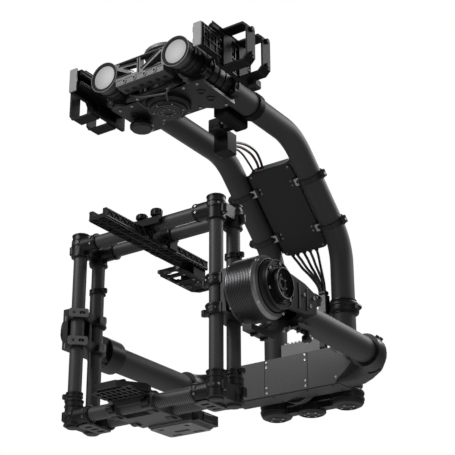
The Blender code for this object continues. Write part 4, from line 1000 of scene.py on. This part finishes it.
def rail_details():
    """Ribs and screws of the top rail, its clamps and the camera bracket."""
    bars = [block((side * 19.1, RAIL_Y[0], z), (side * 20.4, RAIL_Y[1], z + 2))
            for side in (-1, 1) for z in (129.5, 142.6)]
    bars += [block((x, RAIL_Y[0], 127.2), (x + 2, RAIL_Y[1], 128.6)) for x in (-18.6, -1, 16.6)]
    for y in range(-160, 128, LATTICE):
        middle, end = y + LATTICE // 2, y + LATTICE
        for x0, x1 in ((-18, 0), (0, 18)):
            bars.append(pipe([(x0, y, 128), (x1, middle, 128)], 1.1, 6))
            bars.append(pipe([(x1, middle, 128), (x0, end, 128)], 1.1, 6))
        for x in (-19.7, 19.7):
            bars.append(pipe([(x, y, 131), (x, middle, 143)], 1.0, 6))
            bars.append(pipe([(x, middle, 143), (x, end, 131)], 1.0, 6))
    piece("top_rail_ribs", bars, "dark_machined", "rail_body")
    spots = [(x, y, 128.4) for x in (-15, 15) for y in range(-141, 130, 52)]
    screws("top_rail_screws", spots, -Z_AXIS, "rail_body", 1.9, 1.0, "dark_machined")
    lugs = [block((x0, y, 96.4), (x1, y + 14, 103))
            for x0, x1 in ((-21, -13.5), (13.5, 21)) for y in (36, 92, 130)]
    lugs += [lathe([(2, 93.8), (7, 93.8), (8, 94.8), (8, 96.4), (2, 96.4)], (x, y, 0), Z_AXIS, 28)
             for x, y in ((0, 39), (-12, 120), (12, 120))]
    piece("camera_bracket_lugs", lugs, "black_anodised", "bracket_body", bevel=0.6)
    spots = [(x, y, 96) for x in (-18, 18) for y in (66, 96, 110)]
    screws("camera_bracket_screws", spots, -Z_AXIS, "bracket_body", 2.2, 1.4)
    grips = []
    for x, top in ((4, 177), (37, 180)):
        profile = [(0, 167.5), (9, 167.5), (10, 168.5), (10, top - 1.6), (9, top), (6, top), (5.4, top - 1),
                   (0, top - 1)]
        grips.append(lathe(profile, (x, KNOB_Y, 0), Z_AXIS, 32))
        for u, v, z in level_ring(10, range(0, 360, 30), x, KNOB_Y, 169):
            grips.append(pipe([(u, v, z), (u, v, top - 2)], 1.1, 6))
    piece("rail_knob_grips", grips, "black_anodised", "top_slider", crease=30)
    ribs = [rib(15.9, 17.2, x, x + 4, 0.6, (0, y, CAGE_TOP), X_AXIS)
            for y in (-CAGE_Y, CAGE_Y) for x in (-23.5, 19.5)]
    piece("rail_clamp_ribs", ribs, "dark_machined", "top_slider", crease=25)
    bolts = [(x, -CAGE_Y - 15.4, CAGE_TOP - 4) for x in (-16, 14)]
    screws("rail_clamp_screws", bolts, -Y_AXIS, "top_slider", 2.6, 2.0)


PLATE_RIB_Z = (-163.4, -160.6)
SADDLE_X = (-61, 16)     # left ends of the saddle's clamps


def bottom_details():
    """Ribs under the camera plate, clamp ears and screws on the saddle, and the release block's lever."""
    low, high = PLATE_RIB_Z
    ribs = [block((x, -108, low), (x + 2.4, -48, high)) for x in range(-46, 34, 11)]
    ribs += [block((-52 + 3 * i, y, low), (36 - 3 * i, y + 2.4, high))
             for i, y in enumerate((-58, -74, -90, -106))]
    piece("camera_plate_ribs", ribs, "dark_machined", "plate_body", bevel=0.4)
    pad = flat([rounded(-40, -108, 24, -100, 3)], 1.2, (0, 0, -148.9), X_AXIS, Y_AXIS)
    piece("camera_plate_pad", pad, "pad_and_shade_black", "plate_body", bevel=0.3)
    rings = []
    for x0 in SADDLE_X:
        for y in (-CAGE_Y, CAGE_Y):
            x1 = x0 + 14
            rings.append(lathe([(12.9, x0), (18, x0), (19, x0 + 1), (19, x1 - 1), (18, x1), (12.9, x1)],
                               (0, y, CAGE_BOTTOM), X_AXIS, 40))
            rings.append(boss(6.2, 7, (0.8, 1), (x0 + 7, y + math.copysign(20, y), CAGE_BOTTOM - 4), X_AXIS))
    piece("saddle_clamp_rings", rings, "dark_machined", "saddle_body", crease=25)
    bolts = [screw((x0 + dx, y + math.copysign(22, y), CAGE_BOTTOM - 4),
                   Vector((0, math.copysign(1, y), -0.6)), 3.4, 3)
             for x0 in SADDLE_X for y in (-CAGE_Y, CAGE_Y) for dx in (3.6, 10.4)]
    piece("saddle_clamp_bolts", bolts, "lip_metal", "saddle_body")
    plate = flat([rounded(-45, 52, 45, 118, 6), circle(-28, 66, 5, 24), circle(28, 66, 5, 24),
                  rounded(-16, 84, 16, 96, 5), rounded(-34, 104, -12, 111, 3), rounded(12, 104, 34, 111, 3)],
                 2.4, (0, 0, -189.0), X_AXIS, Y_AXIS)
    piece("release_bottom_plate", plate, "light_machined", "saddle_body", bevel=0.5)
    spots = [(x, y, -189.9) for x in (-38, 38) for y in (59, 111)]
    screws("release_screws", spots, -Z_AXIS, "saddle_body", 2.6, 1.2)
    lever = [block((46.5, 56, -187), (60, 116, -168)), block((58, 70, -184), (62, 96, -172))]
    piece("release_lever", lever, "dark_machined", "saddle_body", bevel=1.2)


# ---------------------------------------------------------------- floor, light and camera
FLOOR_Z, FLOOR_RADIUS = -1350, 9000
AIM = (0, 200, 150)
# Name, place, target, size in metres and power in watts of each soft light.
LIGHTS = (
    ("key_light", (-900, -1900, 1500), AIM, (1.2, 1.2), 34),
    ("fill_light", (1900, -700, 300), AIM, (1.4, 1.4), 2.5),
    ("rim_light", (900, 1900, 1500), (0, 300, 200), (1.6, 0.8), 26),
    ("back_light", (-1300, 2300, 900), AIM, (1.6, 1.6), 14),
)
WHITE = (1, 1, 1, 1)
SKY_STRENGTH = 0.14      # on the object; the camera sees the backdrop at full white
AZIMUTH, ELEVATION, ROLL = 34.29, -23.77, -0.22
CAMERA_SPOT = (1338.5, -1728.4, -790.9)
SENSOR = 36.0
FOCAL_TO_WIDTH = 1303.13 / 455.0      # focal length over the picture's width, both in pixels


def sun_panel(name, spot, target, size, power):
    """Rectangular area light at a spot, turned to a target."""
    data = bpy.data.lights.new(name, "AREA")
    data.shape = "RECTANGLE"
    data.size, data.size_y = size
    data.energy = power
    lamp = bpy.data.objects.new(name, data)
    bpy.context.scene.collection.objects.link(lamp)
    lamp.location = place(*spot)
    lamp.rotation_mode = "QUATERNION"
    lamp.rotation_quaternion = (place(*target) - place(*spot)).to_track_quat("-Z", "Y")


def studio():
    """Pale floor, white backdrop and soft lights."""
    floor_mesh = lathe([(0, 0), (FLOOR_RADIUS, 0)], (0, 200, FLOOR_Z), Z_AXIS, 96)
    paint = mottled("floor_paint", (0.8, 0.8, 0.8), 0.8, 0.0, spread=0.01, scale=1.0, grain=40, bump=0.0)
    shader = paint.node_tree.nodes["Principled BSDF"]
    shader.inputs["Emission Color"].default_value = WHITE
    shader.inputs["Emission Strength"].default_value = 0.12
    floor_mesh.materials.append(paint)
    floor = bpy.data.objects.new("floor", floor_mesh)
    bpy.context.scene.collection.objects.link(floor)
    world = bpy.data.worlds.new("studio")
    bpy.context.scene.world = world
    world.use_nodes = True
    tree = world.node_tree
    back = tree.nodes["Background"]
    back.inputs["Color"].default_value = WHITE
    back.inputs["Strength"].default_value = 1.0
    sky = node(tree, "ShaderNodeBackground", Color=WHITE, Strength=SKY_STRENGTH)
    path = tree.nodes.new("ShaderNodeLightPath")
    mix = tree.nodes.new("ShaderNodeMixShader")
    link(tree, path, "Is Camera Ray", mix, 0)
    tree.links.new(sky.outputs[0], mix.inputs[1])
    tree.links.new(back.outputs[0], mix.inputs[2])
    tree.links.new(mix.outputs[0], tree.nodes["World Output"].inputs["Surface"])
    for light in LIGHTS:
        sun_panel(*light)
    bpy.context.scene.view_settings.view_transform = "Standard"


def camera():
    """Camera below the object, in front and to the right of it."""
    azimuth, elevation, roll = math.radians(AZIMUTH), math.radians(ELEVATION), math.radians(ROLL)
    forward = Vector((-math.sin(azimuth) * math.cos(elevation), math.cos(azimuth) * math.cos(elevation),
                      -math.sin(elevation)))
    right = Vector((math.cos(azimuth), math.sin(azimuth), 0))
    up = right.cross(forward)
    tilted = right * math.cos(roll) + up * math.sin(roll)
    upright = up * math.cos(roll) - right * math.sin(roll)
    data = bpy.data.cameras.new("camera")
    data.sensor_width = SENSOR
    data.lens = SENSOR * FOCAL_TO_WIDTH
    data.clip_start, data.clip_end = 0.05, 60.0
    cam = bpy.data.objects.new("camera", data)
    bpy.context.scene.collection.objects.link(cam)
    rows = Matrix((tilted, upright, -forward)).transposed().to_4x4()
    cam.matrix_world = Matrix.Translation(place(*CAMERA_SPOT)) @ rows
    bpy.context.scene.camera = cam


finish_cad_nodes()
straight_tubes()
boom_tubes()
tilt_motor()
arm_details()
roll_box()
case()
cables()
head()
cage_caps()
stop_rings()
clamp_faces()
corner_details()
rail_details()
bottom_details()
boom_details()
studio()
camera()
